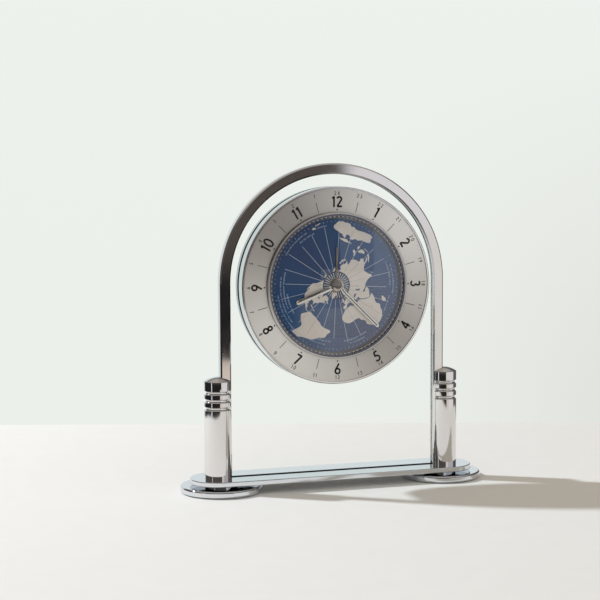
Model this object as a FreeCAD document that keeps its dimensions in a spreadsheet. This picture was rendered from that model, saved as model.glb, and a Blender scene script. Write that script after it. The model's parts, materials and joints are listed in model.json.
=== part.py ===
import FreeCAD, Part
import math
import os
import types

import Sketcher

# A world time clock: a round dial with a turning map of the world, carried in a clear panel
# inside a square bar that is bent to an arch and stands in two turned posts.
# X runs to the right, Y to the back and Z up; the origin is on the table under the middle.

doc = FreeCAD.newDocument("WorldTimeClock")

# Driving sizes in millimetres, angles in degrees and tooth counts
SIZES = {
    # Feet
    "foot_radius": 28.0,
    "foot_thickness": 4.5,
    "foot_edge_radius": 1.3,
    "foot_inset": 3.4,
    "foot_rim": 4.4,
    "pad_thickness": 1.5,
    "pad_recess": 1.0,
    "pad_gap": 0.3,
    "spacer_radius": 11.0,
    "spacer_thickness": 1.4,
    # Base plate
    "plate_overhang": 18.2,
    "plate_depth": 39.0,
    "plate_thickness": 3.4,
    "plate_edge_radius": 0.5,
    # Posts
    "post_radius": 8.0,
    "post_offset": 2.8,
    "post_height": 69.0,
    "dome_rise": 2.6,
    "groove_radius": 1.35,
    "groove_inset": 0.25,
    "groove_pitch": 5.4,
    "groove_drop": 10.6,
    "grooves": 3,
    # Arch bar
    "bar_width": 7.4,
    "bar_chamfer": 1.0,
    "arch_gap": 6.0,
    "arch_lift": 2.5,
    # Clear panel
    "panel_thickness": 3.0,
    "panel_seat": 1.4,
    "panel_gap": 0.12,
    "panel_hole_gap": 0.4,
    # Screws of the stand
    "post_screw_radius": 2.0,
    "post_head_radius": 3.7,
    "post_screw_grip_length": 10.0,
    "leg_screw_radius": 1.25,
    "leg_head_radius": 2.3,
    "leg_screw_grip_length": 8.0,
    "thread_gap": 0.05,
    "hole_gap": 0.15,
    "bore_reserve": 2.0,
    # Clock case, depths run from the panel's middle to the back
    "case_clearance_height": 61.6,
    "case_overlap": 10.4,
    "case_edge": 0.5,
    "bezel_lip": 1.4,
    "bezel_wall": 2.6,
    "bezel_web": 1.2,
    "sleeve_wall": 1.8,
    "sleeve_end_gap": 0.4,
    "gasket_thickness": 0.5,
    "gasket_inset": 0.3,
    "ring_lip_proud": 0.6,
    "numeral_ring_thickness": 1.0,
    "numeral_ring_gap": 0.2,
    "crystal_ring_wall": 1.4,
    "crystal_overlap": 0.8,
    "crystal_ring_lip": 0.4,
    "crystal_ring_edge": 0.35,
    "crystal_thickness": 1.6,
    "crystal_rise": 3.4,
    "crystal_inset": 0.2,
    "crystal_seat_height": 1.4,
    "crystal_gap": 0.2,
    "crystal_lip_gap": 0.3,
    "wall_ring_wall": 2.4,
    "wall_ring_flange": 5.8,
    "wall_ring_flange_thickness": 2.2,
    "wall_ring_gap": 0.2,
    "dial_plate_depth": 4.6,
    "dial_plate_thickness": 1.0,
    "dial_plate_gap": 0.2,
    "dial_plate_hole_gap": 0.3,
    # Rear case and back
    "collar_wall": 1.6,
    "collar_gap": 0.2,
    "slope_reach": 8.0,
    "rear_rim_depth": 6.2,
    "rear_rim_chamfer": 1.5,
    "rear_wall": 1.6,
    "rear_slope_depth": 10.0,
    "ledge_thickness": 1.6,
    "ledge_width": 4.6,
    "ledge_gap": 1.9,
    "back_thickness": 1.6,
    "back_gap": 0.2,
    "back_cover_gap": 0.3,
    "back_screw_radius": 0.95,
    "back_screw_head_radius": 1.8,
    "back_screw_head": 1.0,
    "back_screw_inset": 2.0,
    # World map disc and hands
    "map_gap": 0.8,
    "map_back_gap": 1.0,
    "map_thickness": 0.8,
    "press_gap": 0.02,
    "running_gap": 0.07,
    "spigot_wall": 0.41,
    "spigot_shoulder": 0.5,
    "alarm_tube_wall": 0.77,
    "hour_tube_wall": 0.93,
    "arbor_radius": 1.78,
    "hand_thickness": 0.4,
    "hand_hub_margin": 1.5,
    "tube_end": 0.1,
    "hand_map_gap": 0.5,
    "hand_gap": 0.6,
    "hand_tip_gap": 4.1,
    "alarm_hand_length": 26.1,
    "alarm_hand_width": 1.1,
    "hour_hand_length": 31.4,
    "hour_hand_width": 3.0,
    "minute_hand_width": 2.4,
    "cap_radius": 4.05,
    "cap_rise": 0.7,
    "cap_gap": 0.05,
    "hour_hand_angle": 248.4,
    "minute_hand_angle": 134.5,
    # Gear train, layers counted from the world wheel to the back
    "module": 0.6,
    "tooth_top_share": 0.8,
    "tooth_root_share": 1.05,
    "tooth_width_share": 0.38,
    "tooth_tip_share": 0.19,
    "cannon_teeth": 10,
    "minute_wheel_teeth": 30,
    "minute_pinion_teeth": 8,
    "hour_wheel_teeth": 32,
    "world_drive_teeth": 20,
    "idler_teeth": 20,
    "world_wheel_teeth": 40,
    "alarm_pinion_teeth": 10,
    "alarm_wheel_teeth": 30,
    "world_gear_thickness": 0.8,
    "gear_thickness": 0.7,
    "layer_gap": 0.3,
    "world_wheel_gap": 0.5,
    "train_plate_gap": 0.5,
    "stud_radius": 0.8,
    "collar_margin": 0.6,
    "collar_end_gap": 0.1,
    "minute_wheel_angle": 90.0,
    "first_idler_angle": 210.0,
    "alarm_arbor_angle": 330.0,
    "alarm_arbor_radius": 1.0,
    "train_plate_thickness": 1.0,
    "train_plate_margin": 4.0,
    "pillar_radius": 2.0,
    "pillar_low_angle": 20.0,
    "pillar_top_angle": 270.0,
    "pillar_spigot_radius": 1.2,
    "pillar_spigot_length": 3.5,
    "pillar_screw_radius": 0.9,
    "pillar_screw_head_radius": 1.6,
    "pillar_screw_head": 0.5,
    "pillar_screw_grip_length": 3.0,
    # Movement case, battery and controls
    "movement_front_gap": 0.1,
    "movement_wall": 1.4,
    "bay_lower_wall": 1.3,
    "movement_corner_radius": 6.0,
    "battery_radius": 7.1,
    "battery_length": 49.4,
    "battery_nub_radius": 2.7,
    "battery_nub": 1.0,
    "battery_end_gap": 0.9,
    "battery_side_gap": 0.4,
    "battery_back_gap": 0.6,
    "bay_floor": 0.8,
    "contact_thickness": 0.4,
    "contact_half_width": 5.0,
    "contact_boss_radius": 2.2,
    "contact_gap": 0.02,
    "hinge_rise": 1.3,
    "hinge_drop": 1.2,
    "hinge_pin_radius": 0.5,
    "knuckle_radius": 1.0,
    "knuckle_half_length": 14.0,
    "knuckle_gap": 1.5,
    "ear_half_width": 1.5,
    "door_gap": 0.3,
    "door_leaf_thickness": 0.8,
    "door_side_margin": 0.4,
    "door_edge_margin": 0.5,
    "time_knob_radius": 6.0,
    "knob_spacing": 1.5,
    "knob_height": 4.6,
    "knob_gap": 0.4,
    "knob_chamfer": 0.6,
    "knob_flute_radius": 0.7,
    "knob_flutes": 12,
    "knob_cover": 0.8,
    "switch_across": 14.0,
    "switch_up": 16.0,
    "switch_half_length": 2.5,
    "switch_half_height": 1.5,
    "switch_travel": 4.0,
    "switch_proud": 1.4,
    "switch_foot_margin": 1.0,
    "switch_foot_thickness": 0.8,
    "switch_gap": 0.2,
    "cut_overrun": 1.0,
}


class Size:
    """A size that carries its number and the sheet expression that it comes from."""

    def __init__(self, text, number):
        self.text = text
        self.number = number

    def __add__(self, other):
        return Size(f"({self.text} + {other.text})", self.number + other.number)

    def __sub__(self, other):
        return Size(f"({self.text} - {other.text})", self.number - other.number)

    def __mul__(self, other):
        return Size(f"({self.text} * {other.text})", self.number * other.number)

    def __truediv__(self, other):
        return Size(f"({self.text} / {other.text})", self.number / other.number)

    def __neg__(self):
        return Size(f"(-1 * {self.text})", -self.number)


TINY = 1e-4
NOTHING = Size("0", 0.0)
ONE = Size("1", 1.0)
TWO = Size("2", 2.0)


def half(size):
    return size / TWO


def root(size):
    return Size(f"sqrt({size.text})", math.sqrt(size.number))


def cosine(angle):
    return Size(f"cos({angle.text})", math.cos(math.radians(angle.number)))


def sine(angle):
    return Size(f"sin({angle.text})", math.sin(math.radians(angle.number)))


def polar(distance, angle):
    """Place of a point at a distance and angle from an axis, as an x, y pair."""
    return distance * cosine(angle), distance * sine(angle)


def make_sheet():
    """The spreadsheet that drives the document, and a Size for each of its cells."""
    sheet = doc.addObject("Spreadsheet::Sheet", "Sizes")
    cells = {}
    for row, (name, number) in enumerate(SIZES.items(), start=1):
        sheet.set(f"A{row}", name)
        sheet.set(f"B{row}", str(number))
        sheet.setAlias(f"B{row}", name)
        cells[name] = Size(f"Sizes.{name}", float(number))
    doc.recompute()
    return types.SimpleNamespace(**cells)


S = make_sheet()
nodes = []


# Sketches whose points are bound to the sheet

def vector(x, y):
    return FreeCAD.Vector(x.number, y.number, 0)


def bind(thing, path, size):
    thing.setExpression(path, size.text)


def bound_constraint(sketch, kind, references, size):
    index = sketch.addConstraint(Sketcher.Constraint(kind, *references, size.number))
    bind(sketch, f"Constraints[{index}]", size)


def pin(sketch, geometry, point, x, y):
    """Holds one point of a sketch at x, y from the sketch's origin."""
    for kind, axis, size in (("DistanceX", -2, x), ("DistanceY", -1, y)):
        if size is NOTHING:
            sketch.addConstraint(Sketcher.Constraint("PointOnObject", geometry, point, axis))
        else:
            bound_constraint(sketch, kind, (-1, 1, geometry, point), size)


def add_outline(sketch, points):
    """A closed outline of straight sides."""
    first = sketch.GeometryCount
    count = len(points)
    for here, there in zip(points, points[1:] + points[:1]):
        sketch.addGeometry(Part.LineSegment(vector(*here), vector(*there)))
    for side in range(count):
        following = first + (side + 1) % count
        sketch.addConstraint(Sketcher.Constraint("Coincident", first + side, 2, following, 1))
    for side, (x, y) in enumerate(points):
        pin(sketch, first + side, 1, x, y)


def add_box(sketch, low_x, low_y, high_x, high_y):
    add_outline(sketch, [(low_x, low_y), (high_x, low_y), (high_x, high_y), (low_x, high_y)])


def add_circle(sketch, x, y, radius):
    index = sketch.addGeometry(Part.Circle(vector(x, y), FreeCAD.Vector(0, 0, 1), radius.number))
    pin(sketch, index, 3, x, y)
    bound_constraint(sketch, "Radius", (index,), radius)


def add_crown(sketch, low, high):
    """An arc from a point on the rim to the crown on the axis, square to the axis at the crown."""
    (reach, rim), (_, crown) = low, high
    rise = crown - rim
    radius = (reach * reach + rise * rise) / (TWO * rise)
    centre = FreeCAD.Vector(0, crown.number - radius.number, 0)
    start = math.atan2(rim.number - centre.y, reach.number)
    circle = Part.Circle(centre, FreeCAD.Vector(0, 0, 1), radius.number)
    index = sketch.addGeometry(Part.ArcOfCircle(circle, start, math.pi / 2))
    return index, crown - radius


def add_arch(sketch, half_width, foot, spring):
    """Two legs and a half circle between them; returns the legs' numbers in the sketch."""
    left, right = -half_width, half_width
    up = sketch.addGeometry(Part.LineSegment(vector(left, foot), vector(left, spring)))
    circle = Part.Circle(vector(NOTHING, spring), FreeCAD.Vector(0, 0, 1), half_width.number)
    over = sketch.addGeometry(Part.ArcOfCircle(circle, 0, math.pi))
    down = sketch.addGeometry(Part.LineSegment(vector(right, spring), vector(right, foot)))
    sketch.addConstraint(Sketcher.Constraint("Coincident", up, 2, over, 2))
    sketch.addConstraint(Sketcher.Constraint("Coincident", over, 1, down, 1))
    pin(sketch, up, 1, left, foot)
    pin(sketch, up, 2, left, spring)
    pin(sketch, down, 1, right, spring)
    pin(sketch, down, 2, right, foot)
    pin_height(sketch, over, 3, spring)
    return up, down


def on_plane(body, role, name, offset=None):
    """An empty sketch on one of the body's own planes, moved along the plane's normal."""
    sketch = body.newObject("Sketcher::SketchObject", f"{body.Name}_{name}")
    plane = next(one for one in body.Origin.OriginFeatures if one.Role == role)
    sketch.AttachmentSupport = [(plane, "")]
    sketch.MapMode = "FlatFace"
    if offset is not None:
        bind(sketch, ".AttachmentOffset.Base.z", offset)
    return sketch


# Bodies and their features

def new_body(label):
    body = doc.addObject("PartDesign::Body", label)
    body.Label = label
    nodes.append(body)
    return body


def pad(body, sketch, length, both_ways=False, reverse=False):
    feature = body.newObject("PartDesign::Pad", f"{sketch.Name}_pad")
    feature.Profile = sketch
    bind(feature, "Length", length)
    feature.SideType = "Symmetric" if both_ways else "One side"
    feature.Reversed = reverse
    return feature


def pocket(body, sketch, length, both_ways=False, reverse=False):
    """A cut against the sketch's normal, or along it where reverse is set."""
    feature = body.newObject("PartDesign::Pocket", f"{sketch.Name}_pocket")
    feature.Profile = sketch
    bind(feature, "Length", length)
    feature.SideType = "Symmetric" if both_ways else "One side"
    feature.Reversed = reverse
    return feature


def revolve(body, sketch, kind="Revolution"):
    feature = body.newObject(f"PartDesign::{kind}", f"{sketch.Name}_turned")
    feature.Profile = sketch
    feature.ReferenceAxis = (sketch, ["V_Axis"])
    feature.Angle = 360
    return feature


def dress(body, kind, base, size, wanted):
    """A fillet or chamfer on those edges of the base feature that wanted accepts."""
    doc.recompute()
    edges = [f"Edge{i}" for i, edge in enumerate(base.Shape.Edges, start=1) if wanted(edge)]
    feature = body.newObject(f"PartDesign::{kind}", f"{body.Name}_{kind}")
    feature.Base = (base, edges)
    bind(feature, "Radius" if kind == "Fillet" else "Size", size)
    return feature


def rise_of(edge):
    """How far a straight or curved edge rises from one end to the other."""
    return abs(edge.Vertexes[0].Z - edge.Vertexes[-1].Z)


def is_circle(edge, radius, height):
    """True for a full circle of this radius at this height in its body."""
    curve = edge.Curve
    if not isinstance(curve, Part.Circle) or len(edge.Vertexes) != 1:
        return False
    return abs(curve.Radius - radius.number) < TINY and abs(curve.Center.z - height.number) < TINY


def place(body, x, y, z, rotation=None):
    """Puts an object in the clock's frame, with its place bound to the sheet."""
    body.Placement = FreeCAD.Placement(FreeCAD.Vector(), rotation or FreeCAD.Rotation())
    for axis, size in zip("xyz", (x, y, z)):
        if size is not NOTHING:
            bind(body, f".Placement.Base.{axis}", size)


def face_on(turn=0.0):
    """Turns a body so that its Z runs to the back and a hand on it goes clockwise by turn."""
    to_back = FreeCAD.Rotation(FreeCAD.Vector(1, 0, 0), -90)
    return to_back.multiply(FreeCAD.Rotation(FreeCAD.Vector(0, 0, 1), turn))


def on_dial(body, across=NOTHING, down=NOTHING, turn=0.0):
    """Puts a piece of the clock on the dial's axis, or across and down from it."""
    height = dial_centre_height if down is NOTHING else dial_centre_height - down
    place(body, across, NOTHING, height, face_on(turn))


def turned(label, points):
    """A turned ring or disc of the clock: points are radius and depth, front is negative."""
    body = new_body(label)
    sketch = on_plane(body, "XZ_Plane", "profile")
    add_outline(sketch, points)
    revolve(body, sketch)
    on_dial(body)
    return body


def make_disc(body, radius, start, thickness, name="disc"):
    sketch = on_plane(body, "XY_Plane", name, start)
    add_circle(sketch, NOTHING, NOTHING, radius)
    return pad(body, sketch, thickness)


def bore(body, name, level, depth, circles, reverse=False):
    """Round holes from a level of the body: circles are x, y and radius."""
    sketch = on_plane(body, "XY_Plane", name, level)
    for x, y, radius in circles:
        add_circle(sketch, x, y, radius)
    return pocket(body, sketch, depth, reverse=reverse)


# Heights of the stand's layers over the table
foot_bottom = S.pad_thickness - S.pad_recess
foot_top = foot_bottom + S.foot_thickness
plate_bottom = foot_top + S.spacer_thickness
plate_top = plate_bottom + S.plate_thickness

# Depths from the dial plate to the front, and from the train to the back
dial_back = -S.dial_plate_depth
dial_front = dial_back - S.dial_plate_thickness
map_depth = S.map_back_gap - dial_front
alarm_hand_depth = map_depth + S.map_thickness + S.hand_map_gap
hour_hand_depth = alarm_hand_depth + S.hand_thickness + S.hand_gap
minute_hand_depth = hour_hand_depth + S.hand_thickness + S.hand_gap
world_front = dial_back + S.world_wheel_gap
world_back = world_front + S.world_gear_thickness
alarm_front = world_back + S.layer_gap
alarm_back = alarm_front + S.gear_thickness
drive_front = alarm_back + S.layer_gap
drive_back = drive_front + S.gear_thickness
hour_front = drive_back + S.layer_gap
hour_back = hour_front + S.gear_thickness
cannon_front = hour_back + S.layer_gap
cannon_back = cannon_front + S.gear_thickness
train_plate_depth = cannon_back + S.train_plate_gap
movement_front = train_plate_depth + S.train_plate_thickness + S.movement_front_gap
movement_depth = S.bay_floor + S.battery_radius * TWO + S.battery_back_gap
movement_back = movement_front + movement_depth
bay_front = movement_front + S.bay_floor
battery_depth = bay_front + S.battery_radius + S.running_gap
back_front = movement_back + S.back_cover_gap
cup_end_depth = back_front + S.back_thickness

# The movement is as wide as its battery bay asks, and the case is built out from it
bay_half_width = half(S.battery_length) + S.battery_nub + S.battery_end_gap
bay_half_height = S.battery_radius + S.battery_side_gap
movement_half_width = bay_half_width + S.movement_wall
battery_drop = movement_half_width - S.bay_lower_wall - bay_half_height
movement_flat = movement_half_width - S.movement_corner_radius
movement_reach = movement_flat * root(TWO) + S.movement_corner_radius
ledge_radius = movement_reach + S.ledge_gap
cup_bore_radius = ledge_radius + S.ledge_width
cup_radius = cup_bore_radius + S.rear_wall
collar_bore_radius = cup_radius + S.slope_reach
collar_radius = collar_bore_radius + S.collar_wall
sleeve_bore_radius = collar_radius + S.collar_gap
sleeve_radius = sleeve_bore_radius + S.sleeve_wall
panel_hole_radius = sleeve_radius + S.panel_hole_gap
case_radius = panel_hole_radius + S.case_overlap
dial_plate_radius = collar_radius - S.dial_plate_gap
neck_radius = dial_plate_radius - S.wall_ring_flange
wall_ring_bore_radius = neck_radius - S.wall_ring_wall
map_radius = wall_ring_bore_radius - S.map_gap
crystal_radius = neck_radius - S.crystal_inset
crystal_ring_bore_radius = crystal_radius + S.crystal_gap
bezel_bore_radius = neck_radius + S.wall_ring_gap
minute_hand_length = map_radius - S.hand_tip_gap

# Tubes of the hands and the map, each running on the one inside it
hour_tube_radius = S.arbor_radius + S.running_gap + S.hour_tube_wall
alarm_tube_radius = hour_tube_radius + S.running_gap + S.alarm_tube_wall
map_spigot_radius = alarm_tube_radius + S.running_gap + S.spigot_wall
world_tube_radius = map_spigot_radius + S.spigot_shoulder
dial_plate_hole_radius = world_tube_radius + S.dial_plate_hole_gap

# Places across the stand, built out from the case
dial_centre_height = plate_top + S.case_clearance_height + case_radius
arch_centre_height = dial_centre_height + S.arch_lift
arch_inner_radius = case_radius + S.arch_gap
arch_half_width = arch_inner_radius + S.bar_width
leg_spread = arch_half_width - half(S.bar_width)
post_spread = arch_half_width + S.post_offset
foot_spread = post_spread - S.foot_inset
plate_half_length = post_spread + S.plate_overhang
pad_radius = S.foot_radius - S.foot_rim
post_in = post_spread - foot_spread
leg_in = leg_spread - foot_spread
post_hole_radius = S.post_screw_radius + S.hole_gap
leg_hole_radius = S.leg_screw_radius + S.hole_gap
SIDES = (("left", -1.0, 180), ("right", 1.0, 0))


# Stand

def make_foot(side, sign, turn):
    """A round foot with a recess for its felt and two countersunk holes; +X is outboard."""
    body = new_body(f"foot_{side}")
    profile = on_plane(body, "XZ_Plane", "profile")
    recess = pad_radius + S.pad_gap
    add_outline(profile, [
        (NOTHING, S.pad_recess),
        (recess, S.pad_recess),
        (recess, NOTHING),
        (S.foot_radius, NOTHING),
        (S.foot_radius, S.foot_thickness),
        (NOTHING, S.foot_thickness),
    ])
    revolve(body, profile)
    holes = [(post_in, NOTHING, post_hole_radius), (leg_in, NOTHING, leg_hole_radius)]
    drilled = bore(body, "holes", S.foot_thickness, S.foot_thickness, holes)
    sunk = dress(body, "Chamfer", drilled, S.post_head_radius - S.post_screw_radius,
                 lambda edge: is_circle(edge, post_hole_radius, S.pad_recess))
    sunk_leg = dress(body, "Chamfer", sunk, S.leg_head_radius - S.leg_screw_radius,
                     lambda edge: is_circle(edge, leg_hole_radius, S.pad_recess))
    dress(body, "Fillet", sunk_leg, S.foot_edge_radius,
          lambda edge: is_circle(edge, S.foot_radius, NOTHING)
          or is_circle(edge, S.foot_radius, S.foot_thickness))
    spread = foot_spread if sign > 0 else -foot_spread
    place(body, spread, NOTHING, foot_bottom, FreeCAD.Rotation(FreeCAD.Vector(0, 0, 1), turn))


def make_felt_pad(side, sign, turn):
    body = new_body(f"felt_pad_{side}")
    make_disc(body, pad_radius, NOTHING, S.pad_thickness)
    spread = foot_spread if sign > 0 else -foot_spread
    place(body, spread, NOTHING, NOTHING)


def make_spacer(side, sign, turn):
    """The thin disc that lifts the plate off the foot and leaves a shadow line."""
    body = new_body(f"foot_spacer_{side}")
    make_disc(body, S.spacer_radius, NOTHING, S.spacer_thickness)
    bore(body, "holes", S.spacer_thickness, S.spacer_thickness,
         [(post_in, NOTHING, post_hole_radius), (leg_in, NOTHING, leg_hole_radius)])
    spread = foot_spread if sign > 0 else -foot_spread
    place(body, spread, NOTHING, foot_top, FreeCAD.Rotation(FreeCAD.Vector(0, 0, 1), turn))


def make_base_plate():
    """A flat bar with round ends and a slot for the panel between the legs."""
    body = new_body("base_plate")
    end_radius = half(S.plate_depth)
    end_spread = plate_half_length - end_radius
    outline = on_plane(body, "XY_Plane", "outline")
    upward = FreeCAD.Vector(0, 0, 1)
    right_circle = Part.Circle(vector(end_spread, NOTHING), upward, end_radius.number)
    left_circle = Part.Circle(vector(-end_spread, NOTHING), upward, end_radius.number)
    right = outline.addGeometry(Part.ArcOfCircle(right_circle, -math.pi / 2, math.pi / 2))
    left = outline.addGeometry(Part.ArcOfCircle(left_circle, math.pi / 2, 3 * math.pi / 2))
    back_line = Part.LineSegment(vector(end_spread, end_radius), vector(-end_spread, end_radius))
    front_line = Part.LineSegment(vector(-end_spread, -end_radius), vector(end_spread, -end_radius))
    back = outline.addGeometry(back_line)
    front = outline.addGeometry(front_line)
    meetings = ((right, 2, back, 1), (left, 1, back, 2), (left, 2, front, 1), (right, 1, front, 2))
    for arc, arc_end, line, line_end in meetings:
        outline.addConstraint(Sketcher.Constraint("Coincident", arc, arc_end, line, line_end))
    pin(outline, right, 2, end_spread, end_radius)
    pin(outline, right, 1, end_spread, -end_radius)
    pin(outline, left, 1, -end_spread, end_radius)
    pin(outline, left, 2, -end_spread, -end_radius)
    bound_constraint(outline, "DistanceX", (-1, 1, right, 3), end_spread)
    bound_constraint(outline, "DistanceX", (-1, 1, left, 3), -end_spread)
    solid = pad(body, outline, S.plate_thickness)
    rounded = dress(body, "Fillet", solid, S.plate_edge_radius,
                    lambda edge: rise_of(edge) < TINY)
    slot = on_plane(body, "XY_Plane", "slot", S.plate_thickness)
    slot_end = arch_inner_radius + S.panel_seat
    slot_side = half(S.panel_thickness) + S.panel_gap
    add_box(slot, -slot_end, -slot_side, slot_end, slot_side)
    pocket(body, slot, S.panel_seat)
    holes = []
    for post, leg in ((post_spread, leg_spread), (-post_spread, -leg_spread)):
        holes.append((post, NOTHING, post_hole_radius))
        holes.append((leg, NOTHING, leg_hole_radius))
    bore(body, "holes", S.plate_thickness, S.plate_thickness, holes)
    place(body, NOTHING, NOTHING, plate_bottom)


def make_post(side, sign, turn):
    """A turned post with a domed top, three round grooves and a slot for the arch's leg."""
    body = new_body(f"post_{side}")
    shoulder = S.post_height - S.dome_rise
    profile = on_plane(body, "XZ_Plane", "profile")
    corners = [
        (NOTHING, S.post_height),
        (NOTHING, NOTHING),
        (S.post_radius, NOTHING),
        (S.post_radius, shoulder),
    ]
    sides = [
        profile.addGeometry(Part.LineSegment(vector(*here), vector(*there)))
        for here, there in zip(corners, corners[1:])
    ]
    crown, centre = add_crown(profile, (S.post_radius, shoulder), (NOTHING, S.post_height))
    for here, there in zip(sides, sides[1:]):
        profile.addConstraint(Sketcher.Constraint("Coincident", here, 2, there, 1))
    profile.addConstraint(Sketcher.Constraint("Coincident", sides[-1], 2, crown, 1))
    profile.addConstraint(Sketcher.Constraint("Coincident", crown, 2, sides[0], 1))
    for number, (x, y) in zip(sides, corners):
        pin(profile, number, 1, x, y)
    pin(profile, crown, 1, S.post_radius, shoulder)
    profile.addConstraint(Sketcher.Constraint("PointOnObject", crown, 3, -2))
    revolve(body, profile)

    cove = on_plane(body, "XZ_Plane", "cove")
    groove_span = S.groove_pitch * (S.grooves - ONE)
    lowest = S.post_height - S.groove_drop - groove_span
    add_circle(cove, S.post_radius + S.groove_inset, lowest, S.groove_radius)
    groove = revolve(body, cove, "Groove")
    doc.recompute()
    rows = body.newObject("PartDesign::LinearPattern", f"{body.Name}_grooves")
    rows.Originals = [groove]
    rows.Direction = (cove, ["V_Axis"])
    rows.Occurrences = int(S.grooves.number)
    bind(rows, "Length", groove_span)
    body.Tip = rows

    slot = on_plane(body, "XY_Plane", "slot")
    outer_wall = arch_half_width + S.thread_gap - post_spread
    slot_side = half(S.bar_width) + S.thread_gap
    add_box(slot, -(S.post_radius + S.cut_overrun), -slot_side, outer_wall, slot_side)
    pocket(body, slot, S.post_height + S.cut_overrun, reverse=True)
    bore(body, "thread", NOTHING, S.post_screw_grip_length + S.bore_reserve,
         [(NOTHING, NOTHING, S.post_screw_radius + S.thread_gap)], reverse=True)
    spread = post_spread if sign > 0 else -post_spread
    place(body, spread, NOTHING, plate_top, FreeCAD.Rotation(FreeCAD.Vector(0, 0, 1), turn))


def make_arch_bar():
    """A square bar with chamfered edges and a panel groove, bent to an inverted U."""
    body = new_body("arch_bar")
    path = on_plane(body, "XZ_Plane", "path")
    add_arch(path, leg_spread, plate_top, arch_centre_height)
    flat = half(S.bar_width)
    short = flat - S.bar_chamfer
    lips = half(S.panel_thickness) + S.panel_gap
    floor = flat - S.panel_seat
    section = on_plane(body, "XY_Plane", "section", plate_top)
    right_half = [
        (-short, -flat), (short, -flat), (flat, -short), (flat, -lips), (floor, -lips),
        (floor, lips), (flat, lips), (flat, short), (short, flat), (-short, flat),
        (-flat, short), (-flat, -short),
    ]
    add_outline(section, [(x - leg_spread, y) for x, y in right_half])
    doc.recompute()
    bar = body.newObject("PartDesign::AdditivePipe", "arch_bar_bend")
    bar.Profile = section
    bar.Spine = (path, ["Edge1", "Edge2", "Edge3"])
    thread_radius = S.leg_screw_radius + S.thread_gap
    bore(body, "threads", plate_top, S.leg_screw_grip_length + S.bore_reserve,
         [(x, NOTHING, thread_radius) for x in (leg_spread, -leg_spread)], reverse=True)


def make_clear_panel():
    """The upright clear panel in the arch, with the round hole that carries the clock."""
    body = new_body("clear_panel")
    outline = on_plane(body, "XZ_Plane", "outline")
    half_width = arch_inner_radius + S.panel_seat - S.panel_gap
    foot = plate_top - S.panel_seat
    up, down = add_arch(outline, half_width, foot, arch_centre_height)
    sill = outline.addGeometry(Part.LineSegment(vector(half_width, foot), vector(-half_width, foot)))
    outline.addConstraint(Sketcher.Constraint("Coincident", down, 2, sill, 1))
    outline.addConstraint(Sketcher.Constraint("Coincident", sill, 2, up, 1))
    add_circle(outline, NOTHING, dial_centre_height, panel_hole_radius)
    pad(body, outline, S.panel_thickness, both_ways=True)


def countersunk_screw(name, x, radius, head_radius, grip):
    """A countersunk screw that stands on its head in the foot and reaches into the stand."""
    seat = foot_bottom + S.pad_recess
    shank = doc.addObject("Part::Cylinder", f"{name}_shank")
    bind(shank, "Radius", radius)
    bind(shank, "Height", plate_top + grip - seat)
    head = doc.addObject("Part::Cone", f"{name}_head")
    bind(head, "Radius1", head_radius)
    bind(head, "Radius2", radius)
    bind(head, "Height", head_radius - radius)
    screw = doc.addObject("Part::MultiFuse", name)
    screw.Shapes = [shank, head]
    place(screw, x, NOTHING, seat)
    return screw


def group(label, members):
    compound = doc.addObject("Part::Compound", label)
    compound.Links = members
    compound.Label = label
    nodes.append(compound)


def make_stand_screws():
    group("post_screws", [
        countersunk_screw(f"post_screw_{side}", post_spread if sign > 0 else -post_spread,
                          S.post_screw_radius, S.post_head_radius, S.post_screw_grip_length)
        for side, sign, _ in SIDES
    ])
    group("leg_screws", [
        countersunk_screw(f"leg_screw_{side}", leg_spread if sign > 0 else -leg_spread,
                          S.leg_screw_radius, S.leg_head_radius, S.leg_screw_grip_length)
        for side, sign, _ in SIDES
    ])


# Depths of the case's layers, negative in front of the panel's middle
panel_face = half(S.panel_thickness)
case_face = panel_face + S.gasket_thickness
web_back = dial_front - S.wall_ring_flange_thickness
web_front = web_back - S.bezel_web
bezel_front = web_front - S.numeral_ring_thickness - S.ring_lip_proud
wall_ring_front = web_front - S.crystal_seat_height


def make_front_bezel():
    """The front ring of the case with its lip, its web for the dial and its threaded sleeve."""
    lip_bore = case_radius - S.bezel_lip
    wall_bore = case_radius - S.bezel_wall
    sleeve_end = case_face - S.sleeve_end_gap
    turned("front_bezel", [
        (bezel_bore_radius, web_front),
        (lip_bore, web_front),
        (lip_bore, bezel_front),
        (case_radius - S.case_edge, bezel_front),
        (case_radius, bezel_front + S.case_edge),
        (case_radius, -case_face),
        (wall_bore, -case_face),
        (wall_bore, web_back),
        (sleeve_radius, web_back),
        (sleeve_radius, sleeve_end),
        (sleeve_bore_radius, sleeve_end),
        (sleeve_bore_radius, web_back),
        (bezel_bore_radius, web_back),
    ])


def make_numeral_ring():
    inner = crystal_ring_bore_radius + S.crystal_ring_wall + S.numeral_ring_gap
    outer = case_radius - S.bezel_lip - S.numeral_ring_gap
    front = web_front - S.numeral_ring_thickness
    turned("numeral_ring", [(inner, front), (outer, front), (outer, web_front), (inner, web_front)])


def make_crystal():
    """A domed clear disc of even thickness."""
    body = new_body("crystal")
    rim_front = wall_ring_front - S.crystal_thickness
    outer = on_plane(body, "XZ_Plane", "dome")
    add_lens(outer, crystal_radius, wall_ring_front, rim_front, S.crystal_rise)
    revolve(body, outer)
    on_dial(body)


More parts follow.
